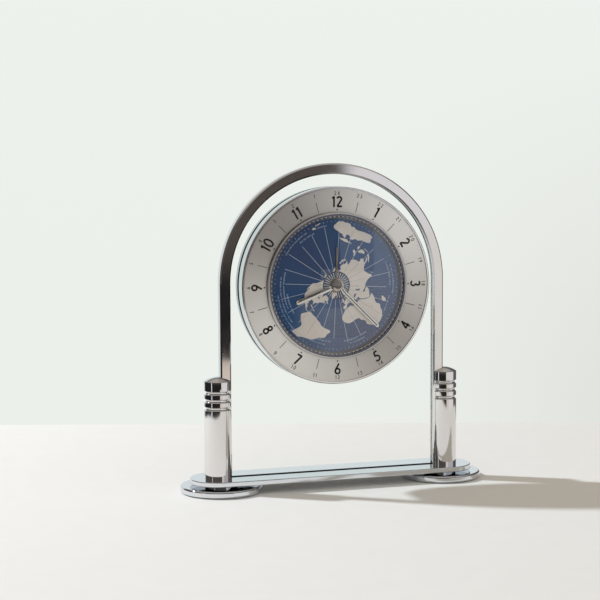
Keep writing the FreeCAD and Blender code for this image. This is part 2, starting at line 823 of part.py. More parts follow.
def add_lens(sketch, radius, rim_back, rim_front, rise):
    """Half the section of a bowed disc: two arcs of equal rise, a rim and the axis."""
    arcs = []
    for rim in (rim_back, rim_front):
        reach = (radius * radius + rise * rise) / (TWO * rise)
        centre = FreeCAD.Vector(0, rim.number - rise.number + reach.number, 0)
        start = math.atan2(rim.number - centre.y, radius.number)
        circle = Part.Circle(centre, FreeCAD.Vector(0, 0, 1), reach.number)
        arc = sketch.addGeometry(Part.ArcOfCircle(circle, -math.pi / 2, start))
        arcs.append(arc)
        pin(sketch, arc, 2, radius, rim)
        pin(sketch, arc, 1, NOTHING, rim - rise)
        sketch.addConstraint(Sketcher.Constraint("PointOnObject", arc, 3, -2))
    back, front = arcs
    rim_ends = vector(radius, rim_back), vector(radius, rim_front)
    axis_ends = vector(NOTHING, rim_front - rise), vector(NOTHING, rim_back - rise)
    rim_line = sketch.addGeometry(Part.LineSegment(*rim_ends))
    axis_line = sketch.addGeometry(Part.LineSegment(*axis_ends))
    for first, first_end, second, second_end in (
        (back, 2, rim_line, 1), (rim_line, 2, front, 2), (front, 1, axis_line, 1), (axis_line, 2, back, 1),
    ):
        sketch.addConstraint(Sketcher.Constraint("Coincident", first, first_end, second, second_end))


def make_crystal_ring():
    """The thin ring that holds the crystal down on its seat."""
    rim_front = wall_ring_front - S.crystal_thickness
    lip_back = rim_front - S.crystal_lip_gap
    lip_front = lip_back - S.crystal_ring_lip
    outer = crystal_ring_bore_radius + S.crystal_ring_wall
    inner = crystal_radius - S.crystal_overlap
    turned("crystal_ring", [
        (crystal_ring_bore_radius, web_front),
        (outer, web_front),
        (outer, lip_front + S.crystal_ring_edge),
        (outer - S.crystal_ring_edge, lip_front),
        (inner, lip_front),
        (inner, lip_back),
        (crystal_ring_bore_radius, lip_back),
    ])


def make_inner_wall_ring():
    """The wall round the map: its flange is clamped between bezel web and dial plate."""
    turned("inner_wall_ring", [
        (wall_ring_bore_radius, dial_front),
        (wall_ring_bore_radius, wall_ring_front),
        (neck_radius, wall_ring_front),
        (neck_radius, web_back),
        (dial_plate_radius, web_back),
        (dial_plate_radius, dial_front),
    ])


def make_dial_plate():
    """The fixed plate behind the map that the train hangs on."""
    body = new_body("dial_plate")
    make_disc(body, dial_plate_radius, dial_front, S.dial_plate_thickness)
    holes = [(NOTHING, NOTHING, dial_plate_hole_radius)]
    holes += [(x, y, S.pillar_screw_radius + S.thread_gap) for x, y in pillar_places()]
    bore(body, "holes", dial_back, S.dial_plate_thickness, holes)
    on_dial(body)


def make_gasket(label, front, back):
    inner = case_radius - S.bezel_wall + S.gasket_inset
    outer = case_radius - S.gasket_inset
    turned(label, [(inner, front), (outer, front), (outer, back), (inner, back)])


def make_rear_case():
    """The rear shell: flange, sloping back, cup and the collar that the bezel screws on to."""
    recess = cup_bore_radius + half(S.rear_wall)
    ledge_back = back_front
    ledge_front = ledge_back - S.ledge_thickness
    slope_inner = S.rear_slope_depth - S.rear_wall
    body = turned("rear_case", [
        (collar_bore_radius, dial_back),
        (collar_radius, dial_back),
        (collar_radius, case_face),
        (case_radius, case_face),
        (case_radius, S.rear_rim_depth),
        (case_radius - S.rear_rim_chamfer, S.rear_rim_depth + S.rear_rim_chamfer),
        (cup_radius, S.rear_slope_depth),
        (cup_radius, cup_end_depth),
        (recess, cup_end_depth),
        (recess, ledge_back),
        (ledge_radius, ledge_back),
        (ledge_radius, ledge_front),
        (cup_bore_radius, ledge_front),
        (cup_bore_radius, slope_inner),
        (collar_bore_radius, S.rear_rim_depth),
    ])
    bore(body, "threads", ledge_back, S.ledge_thickness,
         [(x, y, S.back_screw_radius + S.thread_gap) for x, y in back_screw_places()])


# World map disc and hands

def tube_front(depth):
    """The front end of a tube that just passes through the hand at this depth."""
    return -(depth + S.hand_thickness + S.tube_end)


def make_map_disc():
    body = new_body("map_disc")
    make_disc(body, map_radius, -(map_depth + S.map_thickness), S.map_thickness)
    bore(body, "hole", -map_depth, S.map_thickness,
         [(NOTHING, NOTHING, map_spigot_radius + S.press_gap)])
    on_dial(body)


def make_hand(label, depth, tube_radius, length, width, turn):
    """A baton hand with a round hub that is pressed on its tube."""
    body = new_body(label)
    front = -(depth + S.hand_thickness)
    make_disc(body, tube_radius + S.hand_hub_margin, front, S.hand_thickness, "hub")
    blade = on_plane(body, "XY_Plane", "blade", front)
    side = half(width)
    add_box(blade, -side, -(length - side), side, NOTHING)
    pad(body, blade, S.hand_thickness)
    tip = on_plane(body, "XY_Plane", "tip", front)
    add_circle(tip, NOTHING, -(length - side), side)
    pad(body, tip, S.hand_thickness)
    bore(body, "hole", -depth, S.hand_thickness, [(NOTHING, NOTHING, tube_radius + S.press_gap)])
    on_dial(body, turn=turn)


def make_hand_cap():
    """The low round cap over the hands."""
    body = new_body("hand_cap")
    back = tube_front(minute_hand_depth) - S.cap_gap
    profile = on_plane(body, "XZ_Plane", "profile")
    step = S.hand_thickness
    rim = back - step
    top = rim - S.cap_rise
    reach = (S.cap_radius * S.cap_radius + S.cap_rise * S.cap_rise) / (TWO * S.cap_rise)
    centre = FreeCAD.Vector(0, top.number + reach.number, 0)
    start = math.atan2(rim.number - centre.y, S.cap_radius.number)
    circle = Part.Circle(centre, FreeCAD.Vector(0, 0, 1), reach.number)
    crown = profile.addGeometry(Part.ArcOfCircle(circle, -math.pi / 2, start))
    corners = [(S.cap_radius, rim), (S.cap_radius, back), (NOTHING, back), (NOTHING, top)]
    sides = [
        profile.addGeometry(Part.LineSegment(vector(*here), vector(*there)))
        for here, there in zip(corners, corners[1:])
    ]
    for here, there in zip(sides, sides[1:]):
        profile.addConstraint(Sketcher.Constraint("Coincident", here, 2, there, 1))
    for number, (x, y) in zip(sides, corners):
        pin(profile, number, 1, x, y)
    profile.addConstraint(Sketcher.Constraint("Coincident", sides[-1], 2, crown, 1))
    profile.addConstraint(Sketcher.Constraint("Coincident", crown, 2, sides[0], 1))
    profile.addConstraint(Sketcher.Constraint("PointOnObject", crown, 1, -2))
    profile.addConstraint(Sketcher.Constraint("PointOnObject", crown, 3, -2))
    pin_height(profile, crown, 1, top)
    revolve(body, profile)
    on_dial(body)


def pin_height(sketch, geometry, point, height):
    bound_constraint(sketch, "DistanceY", (-1, 1, geometry, point), height)


# Gear train

def pitch_radius(teeth):
    return half(S.module * teeth)


motion_distance = pitch_radius(S.cannon_teeth) + pitch_radius(S.minute_wheel_teeth)
idler_distance = pitch_radius(S.world_drive_teeth) + pitch_radius(S.idler_teeth)
world_distance = pitch_radius(S.world_wheel_teeth) + pitch_radius(S.idler_teeth)
alarm_distance = pitch_radius(S.alarm_wheel_teeth) + pitch_radius(S.alarm_pinion_teeth)

pillar_ring_radius = world_distance + pitch_radius(S.idler_teeth) + S.pillar_radius
train_plate_radius = pillar_ring_radius + S.train_plate_margin
alarm_knob_radius = alarm_distance - S.time_knob_radius - S.knob_spacing


def minute_wheel_place():
    return polar(motion_distance, S.minute_wheel_angle)


def first_idler_place():
    return polar(idler_distance, S.first_idler_angle)


def second_idler_place():
    """Where the second idler meets both the first idler and the world wheel."""
    bend_cosine = world_distance / (TWO * idler_distance)
    bend_sine = root(ONE - bend_cosine * bend_cosine)
    start_cosine = cosine(S.first_idler_angle)
    start_sine = sine(S.first_idler_angle)
    across = start_cosine * bend_cosine - start_sine * bend_sine
    down = start_sine * bend_cosine + start_cosine * bend_sine
    return world_distance * across, world_distance * down


def alarm_arbor_place():
    return polar(alarm_distance, S.alarm_arbor_angle)


def pillar_places():
    low_x, low_y = polar(pillar_ring_radius, S.pillar_low_angle)
    top_x, top_y = polar(pillar_ring_radius, S.pillar_top_angle)
    return [(low_x, low_y), (-low_x, low_y), (top_x, top_y)]


def gear_face(teeth, phase):
    """A spur gear's face: radial flanks below the pitch circle, sloping flanks above it."""
    count = int(teeth.number)
    pitch = S.module.number * math.pi
    middle = pitch_radius(teeth).number
    top = middle + S.tooth_top_share.number * S.module.number
    bottom = middle - S.tooth_root_share.number * S.module.number
    wide = half(S.tooth_width_share).number * pitch / middle
    narrow = half(S.tooth_tip_share).number * pitch / top
    corners = []
    for tooth in range(count):
        centre = math.radians(phase) + tooth * 2 * math.pi / count
        for radius, turn in ((bottom, -wide), (middle, -wide), (top, -narrow),
                             (top, narrow), (middle, wide), (bottom, wide)):
            angle = centre + turn
            corners.append(FreeCAD.Vector(radius * math.cos(angle), radius * math.sin(angle), 0))
    return Part.Face(Part.makePolygon(corners + corners[:1]))


def gear(teeth, phase, front, back):
    """A spur gear between two depths."""
    solid = gear_face(teeth, phase).extrude(FreeCAD.Vector(0, 0, (back - front).number))
    return solid.translate(FreeCAD.Vector(0, 0, front.number))


def rod(radius, front, back):
    start = FreeCAD.Vector(0, 0, front.number)
    return Part.makeCylinder(radius.number, (back - front).number, start)


def mesh_phase(teeth, phase, angle, next_teeth):
    """The phase that puts a gap of the next gear on the first gear's tooth at this angle."""
    place_in_tooth = (angle - phase) * teeth.number / 360 % 1
    return angle + 180 - (0.5 - place_in_tooth) * 360 / next_teeth.number


def wheel(label, shape, across=NOTHING, down=NOTHING):
    """A wheel of the train, kept with the shape that is worked out for it."""
    piece = doc.addObject("Part::Feature", label)
    piece.Shape = shape.removeSplitter()
    piece.Label = label
    on_dial(piece, across, down)
    nodes.append(piece)


def heading(place_from, place_to):
    dx = place_to[0].number - place_from[0].number
    dy = place_to[1].number - place_from[1].number
    return math.degrees(math.atan2(dy, dx))


CENTRE = (NOTHING, NOTHING)


def make_train():
    """All wheels, each phased so that its teeth stand in the gaps of the one before."""
    knob_seat = cup_end_depth + S.knob_gap + S.knob_height - S.knob_cover
    arbor = rod(S.arbor_radius, tube_front(minute_hand_depth), knob_seat)
    cannon = gear(S.cannon_teeth, 0.0, cannon_front, cannon_back)
    wheel("centre_arbor", arbor.fuse(cannon))

    minute_x, minute_y = minute_wheel_place()
    to_minute = heading(CENTRE, (minute_x, minute_y))
    minute_phase = mesh_phase(S.cannon_teeth, 0.0, to_minute, S.minute_wheel_teeth)
    stud_bore = S.stud_radius + S.running_gap
    minute_wheel = gear(S.minute_wheel_teeth, minute_phase, cannon_front, cannon_back)
    minute_pinion = gear(S.minute_pinion_teeth, 0.0, hour_front, cannon_front)
    bore_rod = rod(stud_bore, world_front, cannon_back)
    wheel("minute_wheel", minute_wheel.fuse(minute_pinion).cut(bore_rod), minute_x, minute_y)

    hour_phase = mesh_phase(S.minute_pinion_teeth, 0.0, to_minute + 180, S.hour_wheel_teeth)
    hour_tube = rod(hour_tube_radius, tube_front(hour_hand_depth), hour_back)
    hour_gear = gear(S.hour_wheel_teeth, hour_phase, hour_front, hour_back)
    world_drive = gear(S.world_drive_teeth, 0.0, drive_front, drive_back)
    hour_bore = rod(S.arbor_radius + S.running_gap, tube_front(minute_hand_depth), hour_back)
    wheel("hour_wheel", hour_tube.fuse([hour_gear, world_drive]).cut(hour_bore))

    first_x, first_y = first_idler_place()
    to_first = heading(CENTRE, (first_x, first_y))
    first_phase = mesh_phase(S.world_drive_teeth, 0.0, to_first, S.idler_teeth)
    wheel("first_idler", gear(S.idler_teeth, first_phase, drive_front, drive_back).cut(bore_rod),
          first_x, first_y)

    second_x, second_y = second_idler_place()
    between = heading((first_x, first_y), (second_x, second_y))
    second_phase = mesh_phase(S.idler_teeth, first_phase, between, S.idler_teeth)
    wheel("second_idler", gear(S.idler_teeth, second_phase, world_front, drive_back).cut(bore_rod),
          second_x, second_y)

    to_centre = heading((second_x, second_y), CENTRE)
    world_phase = mesh_phase(S.idler_teeth, second_phase, to_centre, S.world_wheel_teeth)
    spigot_front = -(map_depth + S.map_thickness + S.tube_end)
    world_tube = rod(world_tube_radius, -map_depth, world_back)
    spigot = rod(map_spigot_radius, spigot_front, world_back)
    world_gear = gear(S.world_wheel_teeth, world_phase, world_front, world_back)
    world_bore = rod(alarm_tube_radius + S.running_gap, spigot_front, world_back)
    wheel("world_wheel", world_tube.fuse([spigot, world_gear]).cut(world_bore))

    alarm_tube = rod(alarm_tube_radius, tube_front(alarm_hand_depth), alarm_back)
    alarm_gear = gear(S.alarm_wheel_teeth, 0.0, alarm_front, alarm_back)
    alarm_bore = rod(hour_tube_radius + S.running_gap, tube_front(alarm_hand_depth), alarm_back)
    wheel("alarm_wheel", alarm_tube.fuse(alarm_gear).cut(alarm_bore))

    alarm_x, alarm_y = alarm_arbor_place()
    to_alarm = heading(CENTRE, (alarm_x, alarm_y))
    alarm_phase = mesh_phase(S.alarm_wheel_teeth, 0.0, to_alarm, S.alarm_pinion_teeth)
    alarm_pinion = gear(S.alarm_pinion_teeth, alarm_phase, alarm_front, alarm_back)
    alarm_rod = rod(S.alarm_arbor_radius, alarm_front, knob_seat)
    wheel("alarm_arbor", alarm_rod.fuse(alarm_pinion), alarm_x, alarm_y)


def make_train_plate():
    """The plate behind the wheels, with its studs and their collars."""
    body = new_body("train_plate")
    front = train_plate_depth
    make_disc(body, train_plate_radius, front, S.train_plate_thickness)
    studs = (
        ("minute", minute_wheel_place(), cannon_back + S.collar_end_gap, hour_front),
        ("first", first_idler_place(), drive_back + S.collar_end_gap, alarm_front),
        ("second", second_idler_place(), drive_back + S.collar_end_gap, world_front),
    )
    for name, (x, y), collar_front, stud_front in studs:
        collar = on_plane(body, "XY_Plane", f"{name}_collar", front)
        add_circle(collar, x, y, S.stud_radius + S.collar_margin)
        pad(body, collar, front - collar_front, reverse=True)
        stud = on_plane(body, "XY_Plane", f"{name}_stud", front)
        add_circle(stud, x, y, S.stud_radius)
        pad(body, stud, front - stud_front, reverse=True)
    alarm_x, alarm_y = alarm_arbor_place()
    holes = [
        (NOTHING, NOTHING, S.arbor_radius + S.running_gap),
        (alarm_x, alarm_y, S.alarm_arbor_radius + S.running_gap),
    ]
    holes += [(x, y, S.pillar_spigot_radius + S.thread_gap) for x, y in pillar_places()]
    bore(body, "holes", front + S.train_plate_thickness, S.train_plate_thickness, holes)
    on_dial(body)


def dial_rod(name, radius, front, back, x, y):
    """A round rod along the dial's axis direction between two depths."""
    piece = doc.addObject("Part::Cylinder", name)
    bind(piece, "Radius", radius)
    bind(piece, "Height", back - front)
    piece.Placement = FreeCAD.Placement(FreeCAD.Vector(), face_on())
    if x is not NOTHING:
        bind(piece, ".Placement.Base.x", x)
    bind(piece, ".Placement.Base.y", front)
    bind(piece, ".Placement.Base.z", dial_centre_height - y)
    return piece


def make_pillars():
    """Three pillars between dial plate and train plate, pressed into the movement case."""
    pillars = []
    screws = []
    for number, (x, y) in enumerate(pillar_places(), start=1):
        column = dial_rod(f"column_{number}", S.pillar_radius, dial_back, train_plate_depth, x, y)
        plate_back = train_plate_depth + S.train_plate_thickness
        spigot = dial_rod(f"spigot_{number}", S.pillar_spigot_radius,
                          dial_back, plate_back + S.pillar_spigot_length, x, y)
        thread = dial_rod(f"thread_{number}", S.pillar_screw_radius + S.thread_gap,
                          dial_back, dial_back + S.pillar_screw_grip_length + S.thread_gap, x, y)
        solid = doc.addObject("Part::MultiFuse", f"pillar_blank_{number}")
        solid.Shapes = [column, spigot]
        pillar = doc.addObject("Part::Cut", f"pillar_{number}")
        pillar.Base = solid
        pillar.Tool = thread
        pillars.append(pillar)
        shank = dial_rod(f"pillar_shank_{number}", S.pillar_screw_radius,
                         dial_front - S.pillar_screw_head, dial_back + S.pillar_screw_grip_length, x, y)
        head = dial_rod(f"pillar_head_{number}", S.pillar_screw_head_radius,
                        dial_front - S.pillar_screw_head, dial_front, x, y)
        screw = doc.addObject("Part::MultiFuse", f"pillar_screw_{number}")
        screw.Shapes = [shank, head]
        screws.append(screw)
    group("train_pillars", pillars)
    group("pillar_screws", screws)


# Movement case, battery and controls

def make_movement_case():
    """The sealed movement: one closed block with an open battery bay in its back."""
    body = new_body("movement_case")
    outline = on_plane(body, "XY_Plane", "outline", movement_front)
    side = movement_half_width
    add_box(outline, -side, -side, side, side)
    block = pad(body, outline, movement_depth)
    dress(body, "Fillet", block, S.movement_corner_radius,
          lambda edge: rise_of(edge) > TINY)
    bay = on_plane(body, "XY_Plane", "bay", movement_back)
    add_box(bay, -bay_half_width, battery_drop - bay_half_height,
            bay_half_width, battery_drop + bay_half_height)
    pocket(body, bay, movement_depth - S.bay_floor)
    alarm_x, alarm_y = alarm_arbor_place()
    bore(body, "arbors", movement_back, movement_depth, [
        (NOTHING, NOTHING, S.arbor_radius + S.layer_gap),
        (alarm_x, alarm_y, S.alarm_arbor_radius + S.layer_gap),
    ])
    bore(body, "sockets", movement_front, S.pillar_spigot_length + S.layer_gap,
         [(x, y, S.pillar_spigot_radius + S.thread_gap) for x, y in pillar_places()], reverse=True)
    recess = on_plane(body, "XY_Plane", "switch_recess", movement_back)
    reach = S.switch_half_length + S.switch_foot_margin + S.switch_travel + S.switch_gap
    rise = S.switch_half_height + S.switch_foot_margin + S.switch_gap
    add_box(recess, -(S.switch_across + reach), -(S.switch_up + rise),
            -(S.switch_across - reach), -(S.switch_up - rise))
    pocket(body, recess, S.switch_foot_thickness)
    on_dial(body)


def make_battery():
    """One round cell on its side, with its terminal nub to the right."""
    body = new_body("battery_cell")
    outline = on_plane(body, "YZ_Plane", "can")
    add_circle(outline, battery_drop, battery_depth, S.battery_radius)
    pad(body, outline, S.battery_length, both_ways=True)
    nub = on_plane(body, "YZ_Plane", "nub", half(S.battery_length))
    add_circle(nub, battery_drop, battery_depth, S.battery_nub_radius)
    pad(body, nub, S.battery_nub)
    on_dial(body)


def make_contacts():
    """The two contact plates at the ends of the bay, each with a boss that meets the cell."""
    plates = []
    for name, wall, cell_end in (
        ("right", bay_half_width, half(S.battery_length) + S.battery_nub),
        ("left", bay_half_width, half(S.battery_length)),
    ):
        boss_length = wall - S.contact_gap - cell_end - S.contact_gap
        plate = doc.addObject("Part::Box", f"contact_plate_{name}")
        bind(plate, "Length", S.contact_thickness)
        bind(plate, "Width", S.contact_half_width * TWO)
        bind(plate, "Height", S.contact_half_width * TWO)
        boss = doc.addObject("Part::Cylinder", f"contact_boss_{name}")
        bind(boss, "Radius", S.contact_boss_radius)
        bind(boss, "Height", boss_length)
        outward = -90 if name == "right" else 90
        boss_turn = FreeCAD.Rotation(FreeCAD.Vector(0, 1, 0), outward)
        boss.Placement = FreeCAD.Placement(FreeCAD.Vector(), boss_turn)
        near = wall - S.contact_gap
        plate_x = near - S.contact_thickness if name == "right" else -near
        boss_x = near if name == "right" else -near
        for piece, x, spread in ((plate, plate_x, S.contact_half_width), (boss, boss_x, None)):
            bind(piece, ".Placement.Base.x", x)
            depth = battery_depth if spread is None else battery_depth - spread
            height = dial_centre_height - battery_drop
            bind(piece, ".Placement.Base.y", depth)
            bind(piece, ".Placement.Base.z", height if spread is None else height - spread)
        contact = doc.addObject("Part::MultiFuse", f"contact_{name}")
        contact.Shapes = [plate, boss]
        plates.append(contact)
    group("battery_contacts", plates)


door_opening_half_width = bay_half_width + S.door_side_margin
door_opening_half_height = bay_half_height + S.door_edge_margin
ear_spread = S.knuckle_half_length + S.knuckle_gap + S.ear_half_width
hinge_down = battery_drop + door_opening_half_height + S.hinge_drop
hinge_depth = cup_end_depth + S.hinge_rise
ear_height = S.hinge_rise + S.knuckle_radius


def make_case_back():
    """The back cover with its holes, its battery opening and the two ears of the door."""
    body = new_body("case_back")
    radius = cup_bore_radius + half(S.rear_wall) - S.back_gap
    make_disc(body, radius, back_front, S.back_thickness)
    for side, low in (("left", -ear_spread), ("right", ear_spread)):
        ear = on_plane(body, "XY_Plane", f"{side}_ear", cup_end_depth)
        add_box(ear, low - S.ear_half_width, hinge_down - S.knuckle_radius,
                low + S.ear_half_width, hinge_down + S.knuckle_radius)
        pad(body, ear, ear_height)
    pin_hole = on_plane(body, "YZ_Plane", "pin_hole")
    add_circle(pin_hole, hinge_down, hinge_depth, S.hinge_pin_radius + S.press_gap)
    pocket(body, pin_hole, (ear_spread + S.ear_half_width + S.cut_overrun) * TWO, both_ways=True)
    window = on_plane(body, "XY_Plane", "battery_window", cup_end_depth)
    add_box(window, -door_opening_half_width, battery_drop - door_opening_half_height,
            door_opening_half_width, battery_drop + door_opening_half_height)
    pocket(body, window, S.back_thickness)
    slot = on_plane(body, "XY_Plane", "switch_slot", cup_end_depth)
    slot_start = -(S.switch_across + S.switch_half_length + S.switch_gap)
    slot_end = -(S.switch_across - S.switch_half_length - S.switch_travel - S.switch_gap)
    slot_rise = S.switch_half_height + S.switch_gap
    add_box(slot, slot_start, -(S.switch_up + slot_rise), slot_end, -(S.switch_up - slot_rise))
    pocket(body, slot, S.back_thickness)
    alarm_x, alarm_y = alarm_arbor_place()
    holes = [
        (NOTHING, NOTHING, S.arbor_radius + S.layer_gap),
        (alarm_x, alarm_y, S.alarm_arbor_radius + S.layer_gap),
    ]
    holes += [(x, y, S.back_screw_radius + S.thread_gap) for x, y in back_screw_places()]
    bore(body, "holes", cup_end_depth, S.back_thickness, holes)
    on_dial(body)


def back_screw_places():
    ring = ledge_radius + S.back_screw_inset
    return [(ring, NOTHING), (-ring, NOTHING), (NOTHING, -ring)]


def make_back_screws():
    screws = []
    for number, (x, y) in enumerate(back_screw_places(), start=1):
        shank = dial_rod(f"back_shank_{number}", S.back_screw_radius, back_front - S.ledge_thickness,
                         cup_end_depth, x, y)
        head = dial_rod(f"back_head_{number}", S.back_screw_head_radius, cup_end_depth,
                        cup_end_depth + S.back_screw_head, x, y)
        screw = doc.addObject("Part::MultiFuse", f"back_screw_{number}")
        screw.Shapes = [shank, head]
        screws.append(screw)
    group("back_screws", screws)


def make_battery_door():
    """The door in the back cover, with a leaf and a long knuckle on the hinge pin."""
    body = new_body("battery_door")
    width = door_opening_half_width - S.door_gap
    upper = battery_drop - door_opening_half_height + S.door_gap
    lower = battery_drop + door_opening_half_height - S.door_gap
    sheet_outline = on_plane(body, "XY_Plane", "sheet", back_front)
    add_box(sheet_outline, -width, upper, width, lower)
    pad(body, sheet_outline, S.back_thickness)
    leaf = on_plane(body, "XY_Plane", "leaf", cup_end_depth)
    add_box(leaf, -S.knuckle_half_length, lower - S.knuckle_radius * TWO, S.knuckle_half_length, lower)
    pad(body, leaf, S.hinge_rise + half(S.door_leaf_thickness))
    bridge = on_plane(body, "XY_Plane", "bridge", hinge_depth - half(S.door_leaf_thickness))
    add_box(bridge, -S.knuckle_half_length, lower - S.knuckle_radius, S.knuckle_half_length, hinge_down)
    pad(body, bridge, S.door_leaf_thickness)
    knuckle = on_plane(body, "YZ_Plane", "knuckle")
    add_circle(knuckle, hinge_down, hinge_depth, S.knuckle_radius)
    pad(body, knuckle, S.knuckle_half_length * TWO, both_ways=True)
    pin_bore = on_plane(body, "YZ_Plane", "pin_bore")
    add_circle(pin_bore, hinge_down, hinge_depth, S.hinge_pin_radius + S.running_gap)
    pocket(body, pin_bore, (S.knuckle_half_length + S.cut_overrun) * TWO, both_ways=True)
    on_dial(body)


def make_hinge_pin():
    body = new_body("door_hinge_pin")
    outline = on_plane(body, "YZ_Plane", "outline")
    add_circle(outline, hinge_down, hinge_depth, S.hinge_pin_radius)
    pad(body, outline, (ear_spread + S.ear_half_width) * TWO, both_ways=True)
    on_dial(body)


def make_knob(label, radius, shaft_radius, x, y):
    """A fluted setting knob, pressed on its arbor."""
    body = new_body(label)
    start = cup_end_depth + S.knob_gap
    end = start + S.knob_height
    solid = make_disc(body, radius, start, S.knob_height)
    dress(body, "Chamfer", solid, S.knob_chamfer, lambda edge: is_circle(edge, radius, end))
    flute = on_plane(body, "XY_Plane", "flute", start)
    add_circle(flute, radius, NOTHING, S.knob_flute_radius)
    cut = pocket(body, flute, S.knob_height, reverse=True)
    doc.recompute()
    flutes = body.newObject("PartDesign::PolarPattern", f"{label}_flutes")
    flutes.Originals = [cut]
    flutes.Axis = (flute, ["N_Axis"])
    flutes.Angle = 360
    flutes.Occurrences = int(S.knob_flutes.number)
    body.Tip = flutes
    bore(body, "seat", start, S.knob_height - S.knob_cover,
         [(NOTHING, NOTHING, shaft_radius + S.press_gap)], reverse=True)
    on_dial(body, x, y)


def make_alarm_switch():
    """The alarm's on and off slide, shown at the off end of its slot."""
    body = new_body("alarm_switch")
    foot = on_plane(body, "XY_Plane", "foot", movement_back - S.switch_foot_thickness)
    reach = S.switch_half_length + S.switch_foot_margin
    rise = S.switch_half_height + S.switch_foot_margin
    add_box(foot, -(S.switch_across + reach), -(S.switch_up + rise),
            -(S.switch_across - reach), -(S.switch_up - rise))
    pad(body, foot, S.switch_foot_thickness)
    button = on_plane(body, "XY_Plane", "button", movement_back)
    add_box(button, -(S.switch_across + S.switch_half_length), -(S.switch_up + S.switch_half_height),
            -(S.switch_across - S.switch_half_length), -(S.switch_up - S.switch_half_height))
    pad(body, button, cup_end_depth + S.switch_proud - movement_back)
    on_dial(body)


# Build every piece
for side in SIDES:
    make_foot(*side)
    make_felt_pad(*side)
    make_spacer(*side)
    make_post(*side)
make_base_plate()
make_arch_bar()
make_clear_panel()
make_stand_screws()
make_front_bezel()
make_numeral_ring()
make_crystal()
make_crystal_ring()
make_inner_wall_ring()
make_dial_plate()
make_gasket("front_gasket", -case_face, -panel_face)
make_gasket("rear_gasket", panel_face, case_face)
make_rear_case()
make_map_disc()
make_hand("alarm_hand", alarm_hand_depth, alarm_tube_radius,
          S.alarm_hand_length, S.alarm_hand_width, 0.0)
make_hand("hour_hand", hour_hand_depth, hour_tube_radius,
          S.hour_hand_length, S.hour_hand_width, S.hour_hand_angle.number)
make_hand("minute_hand", minute_hand_depth, S.arbor_radius,
          minute_hand_length, S.minute_hand_width, S.minute_hand_angle.number)
make_hand_cap()
make_train()
make_train_plate()
make_pillars()
make_movement_case()
make_battery()
make_contacts()
make_case_back()
make_back_screws()
make_battery_door()
make_hinge_pin()
make_knob("time_set_knob", S.time_knob_radius, S.arbor_radius, NOTHING, NOTHING)
make_knob("alarm_set_knob", alarm_knob_radius, S.alarm_arbor_radius, *alarm_arbor_place())
make_alarm_switch()
doc.recompute()

# Check the document and write one file for each piece
failed = [thing.Name for thing in doc.Objects if "Invalid" in thing.State or "Error" in thing.State]
if failed:
    raise RuntimeError(f"These failed: {', '.join(failed)}")
os.makedirs("parts", exist_ok=True)
for node in nodes:
    shape = node.Shape
    if shape.isNull() or not shape.isValid() or not shape.Solids:
        raise RuntimeError(f"{node.Label} has no sound solid")
    box = shape.BoundBox
    print(f"{node.Label}: {len(shape.Solids)} solids, {shape.Volume:.1f} mm3, "
          f"x {box.XMin:.2f} to {box.XMax:.2f}, y {box.YMin:.2f} to {box.YMax:.2f}, "
          f"z {box.ZMin:.2f} to {box.ZMax:.2f}")
    shape.exportStep(f"parts/{node.Label}.step")
print(f"{len(nodes)} pieces written")
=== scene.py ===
# %% [markdown]
# # A world time table clock, dressed for its photograph
# The clock was built first as solids, with real sizes and joints. This lesson loads that model
# and adds what a workshop adds last: polish, brushing, printing, glass, light and a camera.
# Nothing of the solid model is moved, so each new piece is placed from the boxes of its nodes.

# %% Load the model and keep its box
import json
import math
import bmesh
import bpy
import numpy as np
from mathutils import Matrix, Vector


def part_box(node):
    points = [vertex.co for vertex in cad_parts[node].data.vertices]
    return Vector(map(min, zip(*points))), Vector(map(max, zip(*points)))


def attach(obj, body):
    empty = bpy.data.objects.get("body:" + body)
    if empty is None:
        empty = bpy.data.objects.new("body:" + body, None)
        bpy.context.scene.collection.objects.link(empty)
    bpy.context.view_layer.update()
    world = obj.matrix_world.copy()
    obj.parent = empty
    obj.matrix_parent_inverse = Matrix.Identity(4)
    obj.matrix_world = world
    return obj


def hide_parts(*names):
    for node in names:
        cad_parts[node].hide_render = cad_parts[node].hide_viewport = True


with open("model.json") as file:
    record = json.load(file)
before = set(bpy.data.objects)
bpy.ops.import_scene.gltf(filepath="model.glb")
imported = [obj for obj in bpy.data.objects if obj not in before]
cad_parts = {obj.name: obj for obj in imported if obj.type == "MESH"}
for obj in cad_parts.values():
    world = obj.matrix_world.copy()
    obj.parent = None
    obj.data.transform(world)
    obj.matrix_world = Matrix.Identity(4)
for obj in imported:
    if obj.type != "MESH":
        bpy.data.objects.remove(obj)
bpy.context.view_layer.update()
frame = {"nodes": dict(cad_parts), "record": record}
MM = 0.001

# %% [markdown]
# ## Where things are
# A node's box tells where a piece starts and ends. The dial's middle is the middle of the
# numeral ring, and a printed layer sits a few hundredths of a millimetre before the face
# that carries it. Depths run along Y and are negative towards the viewer.

# %% Measure the faces that carry the printing
ring_low, ring_high = (Vector(corner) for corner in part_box("numeral_ring"))
DIAL_X = (ring_low.x + ring_high.x) / 2
DIAL_Z = (ring_low.z + ring_high.z) / 2
PRINT = 0.03 * MM


def front_of(node):
    """The depth of a node's front face."""
    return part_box(node)[0][1]


def back_of(node):
    """The depth of a node's back face."""
    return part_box(node)[1][1]


print("dial centre", round(DIAL_Z / MM, 2), "mm up, ring face at", round(front_of("numeral_ring") / MM, 2))

# %% [markdown]
# ## The camera
# The photograph was taken from the left and a little above, with a long lens, so the stand
# hardly narrows towards the back. The camera is given by the point it looks at, its
# direction from there, its distance and a very small roll.

